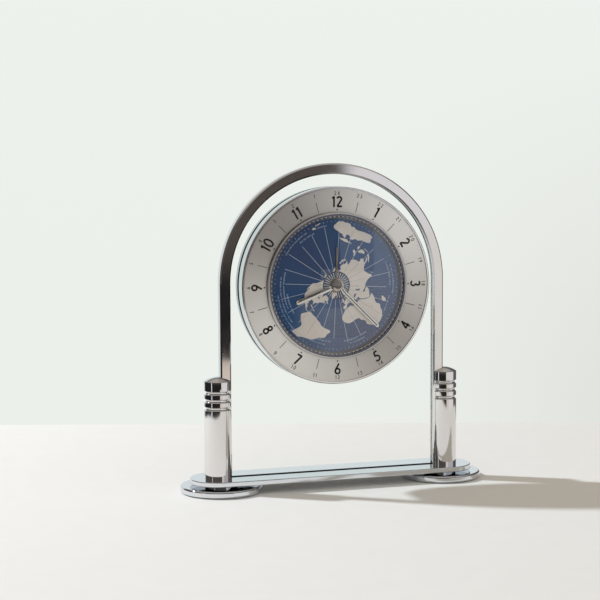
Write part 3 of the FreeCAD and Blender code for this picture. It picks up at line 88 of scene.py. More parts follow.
# %% Set up the camera
LOOK_AT = Vector((-23.646, 0, 129.067)) * MM
TURN = math.radians(-17.517)
RISE = math.radians(4.855)
ROLL = math.radians(-0.273)
DISTANCE = 1048.884 * MM
backward = Vector((math.sin(TURN) * math.cos(RISE), -math.cos(TURN) * math.cos(RISE), math.sin(RISE)))
level = (-backward).cross(Vector((0, 0, 1))).normalized()
upward = level.cross(-backward)
right = math.cos(ROLL) * level + math.sin(ROLL) * upward
top = math.cos(ROLL) * upward - math.sin(ROLL) * level
lens = bpy.data.cameras.new("camera")
lens.type = "PERSP"
lens.sensor_width = 36
lens.lens = 91.795
lens.clip_start = 0.05
lens.clip_end = 20
camera = bpy.data.objects.new("camera", lens)
bpy.context.scene.collection.objects.link(camera)
place = Matrix((right, top, backward)).transposed().to_4x4()
place.translation = LOOK_AT + backward * DISTANCE
camera.matrix_world = place
bpy.context.scene.camera = camera
bpy.context.scene.view_settings.view_transform = "Standard"
print("camera stands at", [round(v, 3) for v in place.translation])

# %% [markdown]
# ## Meshes from arrays
# Every new piece is a grid or a flat outline worked out with numpy. Three helpers turn arrays
# into objects, so that the cells below only hold the shapes. A thin print gets a little
# thickness from a Solidify modifier, which also closes its edges.

# %% Make an object from arrays
def piece(name, points, faces, body, material, smooth=False):
    """A mesh object from an array of points and lists of corners, riding on a body."""
    mesh = bpy.data.meshes.new(name)
    mesh.from_pydata(np.asarray(points, float).tolist(), [], [list(face) for face in faces])
    mesh.update()
    mesh.polygons.foreach_set("use_smooth", np.full(len(mesh.polygons), smooth))
    thing = bpy.data.objects.new(name, mesh)
    bpy.context.scene.collection.objects.link(thing)
    mesh.materials.append(material)
    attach(thing, body)
    return thing


def thicken(thing, thickness):
    """Closes a sheet: the wall grows away from the side that faces out."""
    wall = thing.modifiers.new("thickness", "SOLIDIFY")
    wall.thickness = thickness
    wall.offset = -1
    return thing


def grid_faces(rows, columns, closed=False):
    """Corner numbers of the quads of a grid of points, stored row after row."""
    wide = columns if closed else columns - 1
    row, column = np.meshgrid(np.arange(rows - 1), np.arange(wide), indexing="ij")
    beside = (column + 1) % columns
    corners = (row * columns + column, row * columns + beside,
               (row + 1) * columns + beside, (row + 1) * columns + column)
    return np.stack(corners, axis=-1).reshape(-1, 4)


print("a grid of 3 by 4 points has", len(grid_faces(3, 4)), "quads")

# %% [markdown]
# ## Flat marks
# Numbers, ticks and map lines are ribbons: a path on the dial, widened to both sides along
# its normal. Outlines such as a coast are single flat faces. Both are gathered as patches
# and laid on the dial together, as one piece, the way a dial is printed in one pass.

# %% Ribbons and outlines in the dial's plane
def arc(centre, radii, start, end, steps=14):
    """Points on an ellipse's arc from one angle to another, in degrees against the clock."""
    turn = np.radians(np.linspace(start, end, steps))
    return np.stack((centre[0] + radii[0] * np.cos(turn), centre[1] + radii[1] * np.sin(turn)), axis=1)


def ribbon(path, width):
    """A path widened by half the width to each side: point plus or minus normal times half."""
    path = np.asarray(path, float)
    run = np.gradient(path, axis=0)
    run /= np.linalg.norm(run, axis=1, keepdims=True)
    side = np.stack((-run[:, 1], run[:, 0]), axis=1) * width / 2
    points = np.concatenate((path - side, path + side))
    count = len(path)
    first = np.arange(count - 1)
    quads = np.stack((first, first + 1, first + 1 + count, first + count), axis=1)
    return points, quads.tolist()


def hoop(radius, width, steps=144, centre=(0, 0)):
    """A flat closed ring: circles half the width outside and inside the radius, joined by quads."""
    turn = np.arange(steps) * math.tau / steps
    unit = np.stack((np.cos(turn), np.sin(turn)), axis=1)
    points = np.concatenate((unit * (radius + width / 2), unit * (radius - width / 2))) + centre
    here = np.arange(steps)
    ahead = (here + 1) % steps
    return points, np.stack((here, ahead, ahead + steps, here + steps), axis=1).tolist()


def outline(path):
    """One flat face round a closed path, turned so that it faces the viewer."""
    path = np.asarray(path, float)
    ahead = np.roll(path, -1, axis=0)
    area = np.sum(path[:, 0] * ahead[:, 1] - ahead[:, 0] * path[:, 1])
    if area < 0:
        path = path[::-1]
    return path, [list(range(len(path)))]


print("a hoop has", len(hoop(1, 0.1)[0]), "points")

# %% [markdown]
# Each patch is drawn flat, in millimetres from the dial's middle, then turned and moved to its
# place. All patches of one print are gathered into one mesh and laid in front of a face.

# %% Place patches and lay them on the dial
def around(radius, clock_degrees):
    """A place on the dial: a radius in millimetres and an angle clockwise from twelve."""
    turn = np.radians(clock_degrees)
    return np.stack((radius * np.sin(turn), radius * np.cos(turn)), axis=-1)


def stand(patch, centre, lean):
    """A patch turned clockwise by lean degrees and moved to a centre."""
    points, faces = patch
    turn = math.radians(-lean)
    spin = np.array(((math.cos(turn), math.sin(turn)), (-math.sin(turn), math.cos(turn))))
    return points @ spin + np.asarray(centre), faces


def gather(patches):
    """Patches in millimetres as one array of points in metres and one list of faces."""
    points, faces, start = [], [], 0
    for flat, corners in patches:
        points.append(flat)
        faces.extend([[corner + start for corner in face] for face in corners])
        start += len(flat)
    return np.concatenate(points) * MM, faces


def lay(name, patches, depth, body, material, thickness=PRINT):
    """All patches, in millimetres on the dial, as one piece in front of a face at that depth."""
    flat, faces = gather(patches)
    front = np.full(len(flat), depth - thickness)
    solid = np.stack((DIAL_X + flat[:, 0], front, DIAL_Z + flat[:, 1]), axis=1)
    thicken(piece(name, solid, faces, body, material), thickness)
    print(name, len(patches), "patches")


print("three o'clock on a dial of radius one is at", around(1, 90).round(3).tolist())

# %% [markdown]
# ## Shared effects
# Real finishes are never even. Four small node groups hold the effects that many
# materials share: cloudy polish for metal that is rubbed by hand, fine rings for parts that
# are brushed on a lathe, with a painted highlight that is light and dark twice round the dial,
# spokes for metal brushed outwards, and a fine grain for plastic, rubber and felt. Each group
# gives only values; the shader stays in the material.
# A few helpers come first, because nodes are added and joined all the time.

# %% Helpers for nodes
def add(tree, kind, **settings):
    """A node of that kind with its properties set by name."""
    made = tree.nodes.new(kind)
    for key, value in settings.items():
        setattr(made, key, value)
    return made


def math_node(tree, operation, first, second=None):
    """A Math node whose inputs are sockets or plain numbers."""
    made = add(tree, "ShaderNodeMath", operation=operation)
    for socket, value in zip(made.inputs, (first, second)):
        if value is None:
            continue
        if isinstance(value, (int, float)):
            socket.default_value = value
        else:
            tree.links.new(value, socket)
    return made.outputs[0]


def length_node(tree, first, second):
    """How far two values at right angles reach: the root of the sum of their squares."""
    squares = [math_node(tree, "MULTIPLY", value, value) for value in (first, second)]
    return math_node(tree, "SQRT", math_node(tree, "ADD", *squares))


def new_group(name, inputs, outputs):
    """An empty node group with float inputs and their defaults, and float outputs."""
    group = bpy.data.node_groups.new(name, "ShaderNodeTree")
    for label, value in inputs.items():
        socket = group.interface.new_socket(label, in_out="INPUT", socket_type="NodeSocketFloat")
        socket.default_value = value
    for label in outputs:
        group.interface.new_socket(label, in_out="OUTPUT", socket_type="NodeSocketFloat")
    return group, add(group, "NodeGroupInput"), add(group, "NodeGroupOutput")


def noise(tree, vector, scale, detail=3.0, roughness=0.5):
    """A noise texture on a vector, with the scale as a socket or a number."""
    made = add(tree, "ShaderNodeTexNoise")
    made.inputs["Detail"].default_value = detail
    made.inputs["Roughness"].default_value = roughness
    tree.links.new(vector, made.inputs["Vector"])
    if isinstance(scale, (int, float)):
        made.inputs["Scale"].default_value = scale
    else:
        tree.links.new(scale, made.inputs["Scale"])
    return made.outputs["Fac"]


print("the scene starts with", len(bpy.data.node_groups), "node groups")

# %% [markdown]
# Polish is cloudy where a hand has rubbed it, and the buffing wheel leaves hair lines that run
# one way, so that noise is stretched along Z. A lathe leaves fine circles round its axis, so
# that noise is read from the distance to the axis and from nothing else. The same group also
# paints a highlight: light and dark twice in a turn, by the angle round the axis.

# %% Cloudy polish, and lathe rings with a painted highlight
def cloudy_polish():
    """Cloud: soft patches about a centimetre across. Scratch: hair lines of the buffing wheel."""
    group, given, result = new_group("cloudy polish", {"Cloud Scale": 90.0}, ("Cloud", "Scratch"))
    where = add(group, "ShaderNodeTexCoord").outputs["Object"]
    cloud = noise(group, where, given.outputs["Cloud Scale"], 4.0, 0.6)
    group.links.new(cloud, result.inputs["Cloud"])
    stretch = add(group, "ShaderNodeMapping")
    stretch.inputs["Scale"].default_value = (1.0, 1.0, 0.04)
    stretch.inputs["Rotation"].default_value = (0.2, 0.35, 0.1)
    group.links.new(where, stretch.inputs["Vector"])
    line = noise(group, stretch.outputs["Vector"], 5200.0, 2.0, 0.6)
    group.links.new(line, result.inputs["Scratch"])
    return group


def turned_rings():
    """Ring: noise of the distance from the dial's axis alone, so it draws fine circles.
    Painted Highlight: half plus half the sine of twice the angle, a painted highlight that is light and
    dark twice in a turn."""
    group, given, result = new_group("lathe rings and painted highlight", {"Ring Scale": 3000.0}, ("Ring", "Painted Highlight"))
    where = add(group, "ShaderNodeTexCoord").outputs["Object"]
    parts = add(group, "ShaderNodeSeparateXYZ")
    group.links.new(where, parts.inputs[0])
    across = math_node(group, "SUBTRACT", parts.outputs["X"], DIAL_X)
    rise = math_node(group, "SUBTRACT", parts.outputs["Z"], DIAL_Z)
    radius = length_node(group, across, rise)
    fine = add(group, "ShaderNodeTexNoise", noise_dimensions="1D")
    fine.inputs["Detail"].default_value = 4.0
    group.links.new(radius, fine.inputs["W"])
    group.links.new(given.outputs["Ring Scale"], fine.inputs["Scale"])
    group.links.new(fine.outputs["Fac"], result.inputs["Ring"])
    # Painted highlight: light and dark twice round the axis, by the angle alone, for the tone.
    angle = math_node(group, "ARCTAN2", across, rise)
    wave = math_node(group, "SINE", math_node(group, "MULTIPLY", angle, 2.0))
    painted_highlight = math_node(group, "ADD", math_node(group, "MULTIPLY", wave, 0.5), 0.5)
    group.links.new(painted_highlight, result.inputs["Painted Highlight"])
    return group


EFFECTS = {"polish": cloudy_polish(), "rings": turned_rings()}
print("effect groups", sorted(EFFECTS))

# %% [markdown]
# Metal brushed outwards from a middle shows lines that open like spokes: noise of the
# direction alone. Plastic, rubber and felt have no direction, only a small even grain.

# %% Spokes and fine grain
def spoke_brush():
    """Spoke: noise of the direction from the dial's axis alone, so it draws lines that run
    outwards. Cloud: soft patches about a centimetre across."""
    group, given, result = new_group("spoke brush", {"Spoke Scale": 30.0}, ("Spoke", "Cloud"))
    where = add(group, "ShaderNodeTexCoord").outputs["Object"]
    shift = add(group, "ShaderNodeVectorMath", operation="SUBTRACT")
    shift.inputs[1].default_value = (DIAL_X, 0, DIAL_Z)
    group.links.new(where, shift.inputs[0])
    flat = add(group, "ShaderNodeVectorMath", operation="MULTIPLY")
    flat.inputs[1].default_value = (1, 0, 1)
    group.links.new(shift.outputs[0], flat.inputs[0])
    unit = add(group, "ShaderNodeVectorMath", operation="NORMALIZE")
    group.links.new(flat.outputs[0], unit.inputs[0])
    spoke = noise(group, unit.outputs[0], given.outputs["Spoke Scale"], 3.0, 0.65)
    group.links.new(spoke, result.inputs["Spoke"])
    group.links.new(noise(group, where, 90.0), result.inputs["Cloud"])
    return group


def fine_grain():
    """Grain: a tiny even texture. Patch: wide soft unevenness of the same surface."""
    group, given, result = new_group("fine grain", {"Grain Scale": 2500.0}, ("Grain", "Patch"))
    where = add(group, "ShaderNodeTexCoord").outputs["Object"]
    group.links.new(noise(group, where, given.outputs["Grain Scale"], 2.0), result.inputs["Grain"])
    group.links.new(noise(group, where, 60.0), result.inputs["Patch"])
    return group


EFFECTS["spokes"] = spoke_brush()
EFFECTS["grain"] = fine_grain()
print("effect groups", sorted(EFFECTS))

# %% [markdown]
# ## A finish from a few values
# Most materials here differ only in their two tones, their gloss and which effect breaks
# them up. One function builds such a finish: the effect's wide output, with some of its fine
# one, mixes the two tones and the roughness, and the fine output becomes a very low bump.
# Noise hardly ever leaves the span from 0.3 to 0.7, so that span gives the whole roughness.

# %% Build a finish
# For the rings effect the wide output is its painted highlight: light and dark lobes twice round the dial,
# in tone and roughness.
WIDE = {"polish": "Cloud", "rings": "Painted Highlight", "spokes": "Cloud", "grain": "Patch"}
FINE = {"polish": "Scratch", "rings": "Ring", "spokes": "Spoke", "grain": "Grain"}
NOISE_LOW = 0.3
NOISE_HIGH = 0.7


def linear(colour):
    """A colour given as a screen shows it, 0 to 255, as the light values that a shader takes."""
    part = np.asarray(colour, float) / 255
    low = part / 12.92
    high = ((part + 0.055) / 1.055) ** 2.4
    return tuple(np.where(part <= 0.04045, low, high)) + (1.0,)


def finish(name, light, dark, gloss, effect, scale, metal=0.0, bump=0.0, fine_tone=0.0, **extra):
    """A material between two tones and two roughnesses, broken up by one of the effects."""
    material = bpy.data.materials.new(name)
    material.use_nodes = True
    tree = material.node_tree
    shader = tree.nodes["Principled BSDF"]
    shader.inputs["Metallic"].default_value = metal
    for label, value in extra.items():
        shader.inputs[label.replace("_", " ").title()].default_value = value
    pattern = add(tree, "ShaderNodeGroup", node_tree=EFFECTS[effect])
    pattern.inputs[0].default_value = scale
    wide = pattern.outputs[WIDE[effect]]
    fine = pattern.outputs[FINE[effect]]
    share = math_node(tree, "ADD", math_node(tree, "MULTIPLY", wide, 1 - fine_tone),
                      math_node(tree, "MULTIPLY", fine, fine_tone))
    tone = add(tree, "ShaderNodeMix", data_type="RGBA")
    tone.inputs["A"].default_value = linear(dark)
    tone.inputs["B"].default_value = linear(light)
    tree.links.new(share, tone.inputs["Factor"])
    tree.links.new(tone.outputs["Result"], shader.inputs["Base Color"])
    spread = add(tree, "ShaderNodeMapRange")
    spread.inputs["From Min"].default_value = NOISE_LOW
    spread.inputs["From Max"].default_value = NOISE_HIGH
    spread.inputs["To Min"].default_value = gloss[0]
    spread.inputs["To Max"].default_value = gloss[1]
    tree.links.new(share, spread.inputs["Value"])
    tree.links.new(spread.outputs["Result"], shader.inputs["Roughness"])
    if bump:
        relief = add(tree, "ShaderNodeBump")
        relief.inputs["Strength"].default_value = 1.0
        relief.inputs["Distance"].default_value = bump * MM
        tree.links.new(fine, relief.inputs["Height"])
        tree.links.new(relief.outputs["Normal"], shader.inputs["Normal"])
    return material


def dress(slot, material):
    """Gives every solid of a material slot its finish."""
    named = [part["node"] for part in frame["record"]["subparts"] if part["material_slot"] == slot]
    for node in named:
        mesh_object = frame["nodes"][node]
        for place_in_list in mesh_object.material_slots:
            place_in_list.material = material
    print(slot, "on", ", ".join(named))


print("a screen's middle grey is", round(linear((128, 128, 128))[0], 3), "as a light value")

# %% [markdown]
# ## Chrome on the stand
# The posts, the arch and the base are polished steel with bright chrome. Chrome has hardly a
# colour of its own: it shows the room. It only needs a nearly neutral tint, very low
# roughness that drifts a little where fingers and cloths have been, and hair lines that
# can be felt more than seen. The ring that holds the crystal is satin, with turned lines.

# %% Polished metal and the crystal's ring
chrome = finish("stand chrome", (235, 233, 231), (221, 219, 219), (0.025, 0.06), "polish", 70.0,
                metal=1.0, bump=0.0006, fine_tone=0.2)
base_chrome = finish("base chrome", (231, 232, 235), (215, 218, 223), (0.03, 0.075), "polish", 55.0,
                     metal=1.0, bump=0.0008, fine_tone=0.2)
# The crystal ring's two tones carry the painted highlight of the rings effect: two light and two dark
# lobes.
crystal_rim = finish("crystal ring satin", (226, 224, 221), (172, 170, 167), (0.26, 0.36), "rings", 2600.0,
                     metal=1.0, bump=0.0006, fine_tone=0.25)
dress("polished_stand", chrome)
dress("polished_base", base_chrome)
dress("crystal_ring", crystal_rim)

# %% [markdown]
# ## The posts
# A post is turned from bar: a cylinder with three round grooves and a low dome, and a slot
# milled from the inner side that takes the arch's leg, so that seen from the front the post
# covers the leg. The solid posts are a little slimmer than the real ones. These have the
# real width and keep the outer edge, the height and the grooves of the solids they replace.

# %% The profile of a post
POST_RADIUS = 9.2
DOME_RISE = 2.6
SHOULDER_ROUND = 0.7
GROOVE_RADIUS = 1.35
GROOVE_INSET = 0.25
GROOVE_PITCH = 5.4
GROOVE_DROP = 10.6
SLOT_GAP = 0.05
FIRST_ROW = 0.3
ROUND_SHARE = 0.86
GROOVES = 3


def groove_depth(height, centre):
    """How deep a round groove cuts at a height: the circle's half chord minus the inset."""
    reach = np.sqrt(np.clip(GROOVE_RADIUS ** 2 - (height - centre) ** 2, 0, None))
    return np.clip(reach - GROOVE_INSET, 0, None)


def post_profile(post_height):
    """Radius and height up the side and over the dome: lands, grooves, a rounded shoulder."""
    shoulder = post_height - DOME_RISE
    grooves = post_height - GROOVE_DROP - np.arange(GROOVES) * GROOVE_PITCH
    half_chord = math.sqrt(GROOVE_RADIUS ** 2 - GROOVE_INSET ** 2)
    fine = grooves[:, None] + half_chord * np.sin(np.linspace(-math.pi / 2, math.pi / 2, 19))
    side = np.concatenate(((0, FIRST_ROW), fine.ravel(), (shoulder - SHOULDER_ROUND,)))
    side = np.unique(side)
    radius = POST_RADIUS - sum(groove_depth(side, centre) for centre in grooves)
    turn = np.linspace(0, 1, 9)[1:] * math.pi / 2 * ROUND_SHARE
    round_radius = POST_RADIUS - SHOULDER_ROUND * (1 - np.cos(turn))
    round_height = shoulder - SHOULDER_ROUND * (1 - np.sin(turn))
    inward = np.linspace(1, 0, 26)[1:]
    dome_radius = round_radius[-1] * inward
    dome_height = round_height[-1] + (post_height - round_height[-1]) * (1 - inward ** 2)
    return (np.concatenate((radius, round_radius, dome_radius)),
            np.concatenate((side, round_height, dome_height)))


print("rows up a post", len(post_profile(70)[0]))

# %% [markdown]
# One closed grid makes each post: every row is an arc from one lip of the slot to the other,
# with the two corners at the slot's bottom. Rows that fall on the axis at the dome's top are
# merged, so that the pole is closed, and the normals are worked out again after that.

# %% Turn the two posts
SHARP_ANGLE = 24
POINTS_ROUND = 120


def turn_post(name, node, sign):
    """A grid of rows up the post; each row runs round from one lip of the slot to the other."""
    low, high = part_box(node)
    leg_low, leg_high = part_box("arch_bar")
    outer = high[0] if sign > 0 else -low[0]
    axis = outer / MM - POST_RADIUS
    wall = axis - leg_high[0] / MM - SLOT_GAP
    half_slot = (leg_high[1] - leg_low[1]) / 2 / MM + SLOT_GAP
    radius, height = post_profile((high[2] - low[2]) / MM)
    lip = np.where(radius > math.hypot(wall, half_slot),
                   math.pi - np.arcsin(np.clip(half_slot / np.maximum(radius, 1e-6), 0, 1)),
                   math.pi - np.arccos(np.clip(wall / np.maximum(radius, 1e-6), 0, 1)))
    turn = lip[:, None] * np.linspace(-1, 1, POINTS_ROUND)
    across = radius[:, None] * np.cos(turn)
    depth = radius[:, None] * np.sin(turn)
    corner = np.minimum(half_slot, np.sqrt(np.clip(radius ** 2 - wall ** 2, 0, None)))
    inner = np.maximum(np.minimum(-wall, -1e-4), -radius)
    across = np.column_stack((across, inner, inner))
    depth = np.column_stack((depth, corner, -corner))
    x = sign * (axis + across) * MM
    y = depth * MM * sign
    z = low[2] + np.repeat(height[:, None], across.shape[1], axis=1) * MM
    points = np.stack((x, y, z), axis=2).reshape(-1, 3)
    rows, columns = across.shape
    faces = grid_faces(rows, columns, closed=True).tolist()
    faces.append(list(range(columns))[::-1])
    post = piece(name, points, faces, "clock_stand", chrome, smooth=True)
    shape = bmesh.new()
    shape.from_mesh(post.data)
    bmesh.ops.remove_doubles(shape, verts=shape.verts, dist=1e-6)
    bmesh.ops.dissolve_degenerate(shape, edges=shape.edges, dist=1e-7)
    bmesh.ops.recalc_face_normals(shape, faces=shape.faces)
    shape.to_mesh(post.data)
    shape.free()
    post.data.set_sharp_from_angle(angle=math.radians(SHARP_ANGLE))
    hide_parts(node)
    print(name, "axis at", round(sign * axis, 2), "mm,", len(post.data.polygons), "faces")


turn_post("turned_post_left", "post_left", -1)
turn_post("turned_post_right", "post_right", 1)

# %% [markdown]
# ## Satin metal on the case
# The case is spun sheet metal with a satin skin and the numeral ring is brushed on a lathe,
# so its fine lines run round the dial. Brushing spreads a highlight across the lines, which
# the anisotropy of the shader gives, with its tangent turned round the dial's axis. On top of
# that, two light and two dark lobes of such a highlight are painted into the tones of these
# satin metals by the rings effect, most strongly on the numeral ring.

# %% Satin and brushed metal
case_satin = finish("case satin", (238, 239, 239), (222, 223, 224), (0.12, 0.2), "rings", 1800.0,
                    metal=1.0, bump=0.001, fine_tone=0.5)
rear_satin = finish("rear case satin", (205, 206, 206), (186, 187, 188), (0.2, 0.3), "rings", 1500.0,
                    metal=1.0, bump=0.0012, fine_tone=0.5)
# Painted highlight: the wide gap between the numeral ring's light and dark tone paints two bright and two
# dark lobes round it.
numeral_ring_painted_lobes = finish("numeral ring with painted highlight lobes", (255, 254, 251), (164, 160, 156), (0.3, 0.4), "rings",
                      3200.0, metal=0.62, bump=0.0008, fine_tone=0.15)
wall_satin = finish("inner wall satin", (206, 202, 200), (176, 172, 170), (0.2, 0.32), "rings", 2400.0,
                    metal=1.0, bump=0.001, fine_tone=0.5)
plate_satin = finish("dial plate satin", (168, 170, 172), (140, 143, 146), (0.35, 0.45), "rings", 1200.0,
                     metal=1.0, bump=0.0015, fine_tone=0.5)
dress("case_front", case_satin)
dress("case_rear", rear_satin)
dress("numeral_ring", numeral_ring_painted_lobes)
dress("inner_wall", wall_satin)
dress("dial_plate", plate_satin)


def brush_round(material, amount):
    """Stretches the highlight across lines that run round the dial's axis."""
    tree = material.node_tree
    shader = tree.nodes["Principled BSDF"]
    shader.inputs["Anisotropic"].default_value = amount
    direction = add(tree, "ShaderNodeTangent", direction_type="RADIAL", axis="Y")
    tree.links.new(direction.outputs["Tangent"], shader.inputs["Tangent"])


brush_round(numeral_ring_painted_lobes, 0.55)
brush_round(case_satin, 0.3)

# %% [markdown]
# ## Brass, steel and nickel inside
# The wheels are cut from brass sheet, the arbors are turned steel and the contacts are
# plated. They sit behind the dial and show only in a section or through the gap behind the
# map, but each has its own tone and grain.

# %% Metals of the works
wheel_brass = finish("wheel brass", (214, 182, 104), (176, 140, 74), (0.22, 0.36), "polish", 160.0,
                     metal=1.0, bump=0.002, fine_tone=0.4)
# The train plate's tones also carry the painted highlight of the rings effect.
plate_brass = finish("train plate brass", (206, 176, 108), (170, 138, 80), (0.3, 0.42), "rings", 1400.0,
                     metal=1.0, bump=0.002, fine_tone=0.5)
arbor_steel = finish("arbor steel", (190, 190, 192), (150, 151, 154), (0.16, 0.28), "polish", 220.0,
                     metal=1.0, bump=0.001, fine_tone=0.4)
screw_steel = finish("screw steel", (182, 183, 186), (140, 141, 145), (0.2, 0.34), "polish", 260.0,
                     metal=1.0, bump=0.0015, fine_tone=0.4)
nickel = finish("contact nickel", (200, 196, 186), (168, 164, 154), (0.18, 0.3), "polish", 180.0,
                metal=1.0, bump=0.001, fine_tone=0.3)
dress("wheel_brass", wheel_brass)
dress("train_plate", plate_brass)
dress("arbor_steel", arbor_steel)
dress("screw_steel", screw_steel)
dress("contact_nickel", nickel)

# %% [markdown]
# ## Plastic, rubber, felt and paint
# The movement, its back cover and the battery door are moulded in black plastic with a fine
# spark texture. Knobs are smoother. Gaskets are matt rubber, and the pads under the feet are
# felt, whose short fibres catch light at the edge, so the shader gets some sheen.

# %% Soft and moulded finishes
moulded = finish("moulded black", (52, 52, 54), (34, 34, 36), (0.5, 0.64), "grain", 1900.0,
                 bump=0.02, fine_tone=0.5)
cover_black = finish("cover black", (48, 48, 50), (30, 30, 32), (0.42, 0.56), "grain", 2300.0,
                     bump=0.015, fine_tone=0.5)
door_black = finish("door black", (54, 54, 56), (36, 36, 38), (0.4, 0.55), "grain", 2300.0,
                    bump=0.015, fine_tone=0.5)
knob_black = finish("knob black", (44, 44, 46), (26, 26, 28), (0.24, 0.36), "grain", 900.0,
                    bump=0.01, fine_tone=0.3)
switch_white = finish("switch white", (214, 212, 206), (190, 188, 182), (0.3, 0.42), "grain", 1200.0,
                      bump=0.008, fine_tone=0.3)
rubber = finish("gasket rubber", (34, 34, 34), (20, 20, 20), (0.6, 0.78), "grain", 1600.0,
                bump=0.015, fine_tone=0.5)
felt = finish("pad felt", (52, 48, 46), (22, 20, 20), (0.9, 1.0), "grain", 1500.0,
              bump=0.12, fine_tone=0.8, sheen_weight=0.6, sheen_roughness=0.5)
cell_paint = finish("battery sleeve", (96, 104, 116), (60, 66, 76), (0.25, 0.38), "polish", 60.0,
                    metal=0.6, bump=0.001, fine_tone=0.3)
for slot, material in (("movement", moulded), ("back_cover", cover_black), ("door", door_black),
                       ("knob", knob_black), ("switch", switch_white), ("gasket", rubber),
                       ("felt", felt), ("battery", cell_paint)):
    dress(slot, material)

# %% [markdown]
# ## Clear panel and crystal
# The crystal is a domed lens and the panel a flat clear sheet. Both use the shader's own
# transmission, but only for rays that come from the camera or through another clear sheet.
# Rays of shadow, soft light and mirrors pass straight through, mixed in by the Light Path
# node, so the dial below is lit and mirrors the room as if the sheet were not there, as it
# nearly does in real life. The panel bends light less than real acrylic, so that its face
# stays as quiet as in the photo.

# %% Clear materials
CLOUD_SCALE = 40.0
SHADOW_TINT = (250, 251, 250)


def clear(name, tint, bend, roughness):
    """Transmitting material with faint uneven polish, which lets shadow rays through."""
    material = bpy.data.materials.new(name)
    material.use_nodes = True
    tree = material.node_tree
    shader = tree.nodes["Principled BSDF"]
    shader.inputs["Transmission Weight"].default_value = 1.0
    shader.inputs["IOR"].default_value = bend
    shader.inputs["Metallic"].default_value = 0.0
    pattern = add(tree, "ShaderNodeGroup", node_tree=EFFECTS["polish"])
    pattern.inputs[0].default_value = CLOUD_SCALE
    tone = add(tree, "ShaderNodeMix", data_type="RGBA")
    tone.inputs["A"].default_value = linear(tint)
    tone.inputs["B"].default_value = (1, 1, 1, 1)
    tree.links.new(pattern.outputs["Cloud"], tone.inputs["Factor"])
    tree.links.new(tone.outputs["Result"], shader.inputs["Base Color"])
    haze = math_node(tree, "MULTIPLY", pattern.outputs["Cloud"], roughness)
    tree.links.new(haze, shader.inputs["Roughness"])
    pass_through = add(tree, "ShaderNodeBsdfTransparent")
    pass_through.inputs["Color"].default_value = linear(SHADOW_TINT)
    path = add(tree, "ShaderNodeLightPath")
    blend = add(tree, "ShaderNodeMixShader")
    looked_through = math_node(tree, "MAXIMUM", path.outputs["Is Camera Ray"],
                               path.outputs["Is Transmission Ray"])
    tree.links.new(math_node(tree, "SUBTRACT", 1.0, looked_through), blend.inputs["Fac"])
    tree.links.new(shader.outputs["BSDF"], blend.inputs[1])
    tree.links.new(pass_through.outputs["BSDF"], blend.inputs[2])
    tree.links.new(blend.outputs["Shader"], tree.nodes["Material Output"].inputs["Surface"])
    return material


dress("crystal", clear("crystal glass", (252, 252, 251), 1.6, 0.02))
dress("clear_panel", clear("clear panel sheet", (254, 255, 254), 1.12, 0.02))

# %% [markdown]
# ## Numerals as strokes
# The large numerals are a bold round sans: circles, straight strokes and one width of line.
# A digit is therefore a list of paths in a box one unit high, with its width, and the ribbon
# helper gives it its weight. A nine is a six turned over. The same digits, thinner and
# smaller, make the 24 hour ring.

# %% Digits one unit high
def bar(*ends):
    """A straight stroke from one end to the other."""
    return np.array(ends)


TWO_BOWL = arc((0.25, 0.73), (0.2, 0.2), 165, -38, 16)
DIGITS = {
    "0": ([arc((0.29, 0.5), (0.24, 0.45), 0, 360, 36)], 0.58),
    "1": ([bar((0.2, 0.0), (0.2, 1.0)), bar((0.2, 0.93), (0.03, 0.8))], 0.3),
    "2": ([np.concatenate((TWO_BOWL, [(0.06, 0.09)])), bar((0.03, 0.065), (0.52, 0.065))], 0.54),
    "3": ([arc((0.22, 0.735), (0.18, 0.195), 150, -80, 16),
           arc((0.22, 0.29), (0.22, 0.23), 84, -150, 18)], 0.5),
    "4": ([bar((0.4, 0.0), (0.4, 1.0)), bar((0.4, 0.95), (0.05, 0.28)),
           bar((0.02, 0.28), (0.54, 0.28))], 0.56),
    "5": ([bar((0.48, 0.935), (0.15, 0.935)), bar((0.18, 0.96), (0.1, 0.52)),
           arc((0.22, 0.31), (0.24, 0.25), 118, -150, 18)], 0.52),
    "6": ([arc((0.27, 0.29), (0.22, 0.23), 0, 360, 30), bar((0.4, 0.99), (0.07, 0.4))], 0.54),
    "7": ([bar((0.02, 0.935), (0.5, 0.935)), bar((0.47, 0.96), (0.16, 0.0))], 0.52),
    "8": ([arc((0.26, 0.745), (0.17, 0.19), 0, 360, 28),
           arc((0.26, 0.285), (0.21, 0.22), 0, 360, 28)], 0.52),
}
SIX_PATHS, SIX_WIDTH = DIGITS["6"]
DIGITS["9"] = ([np.array((SIX_WIDTH, 1)) - path for path in SIX_PATHS], SIX_WIDTH)
DIGIT_GAP = 0.16


def number(text, height, stroke, gap=DIGIT_GAP):
    """A centred number as patches: its digits side by side with a small gap."""
    placed, cursor = [], 0.0
    for digit in text:
        paths, width = DIGITS[digit]
        placed.extend(path + (cursor, 0) for path in paths)
        cursor += width + gap
    middle = np.array(((cursor - gap) / 2, 0.5))
    return [ribbon((path - middle) * height, stroke) for path in placed]


print("the number 12 takes", len(number("12", 6.8, 1.0)), "strokes")

# %% [markdown]
# ## Hours, half hours and the 24 hour ring
# Each hour has a numeral, a dot on its inner side and, half an hour later, a fine line. The
# small ring counts 24 hours the other way round, because the map turns under it. Numerals
# from nine over twelve to three stand on the centre; the lower ones are turned to be read.

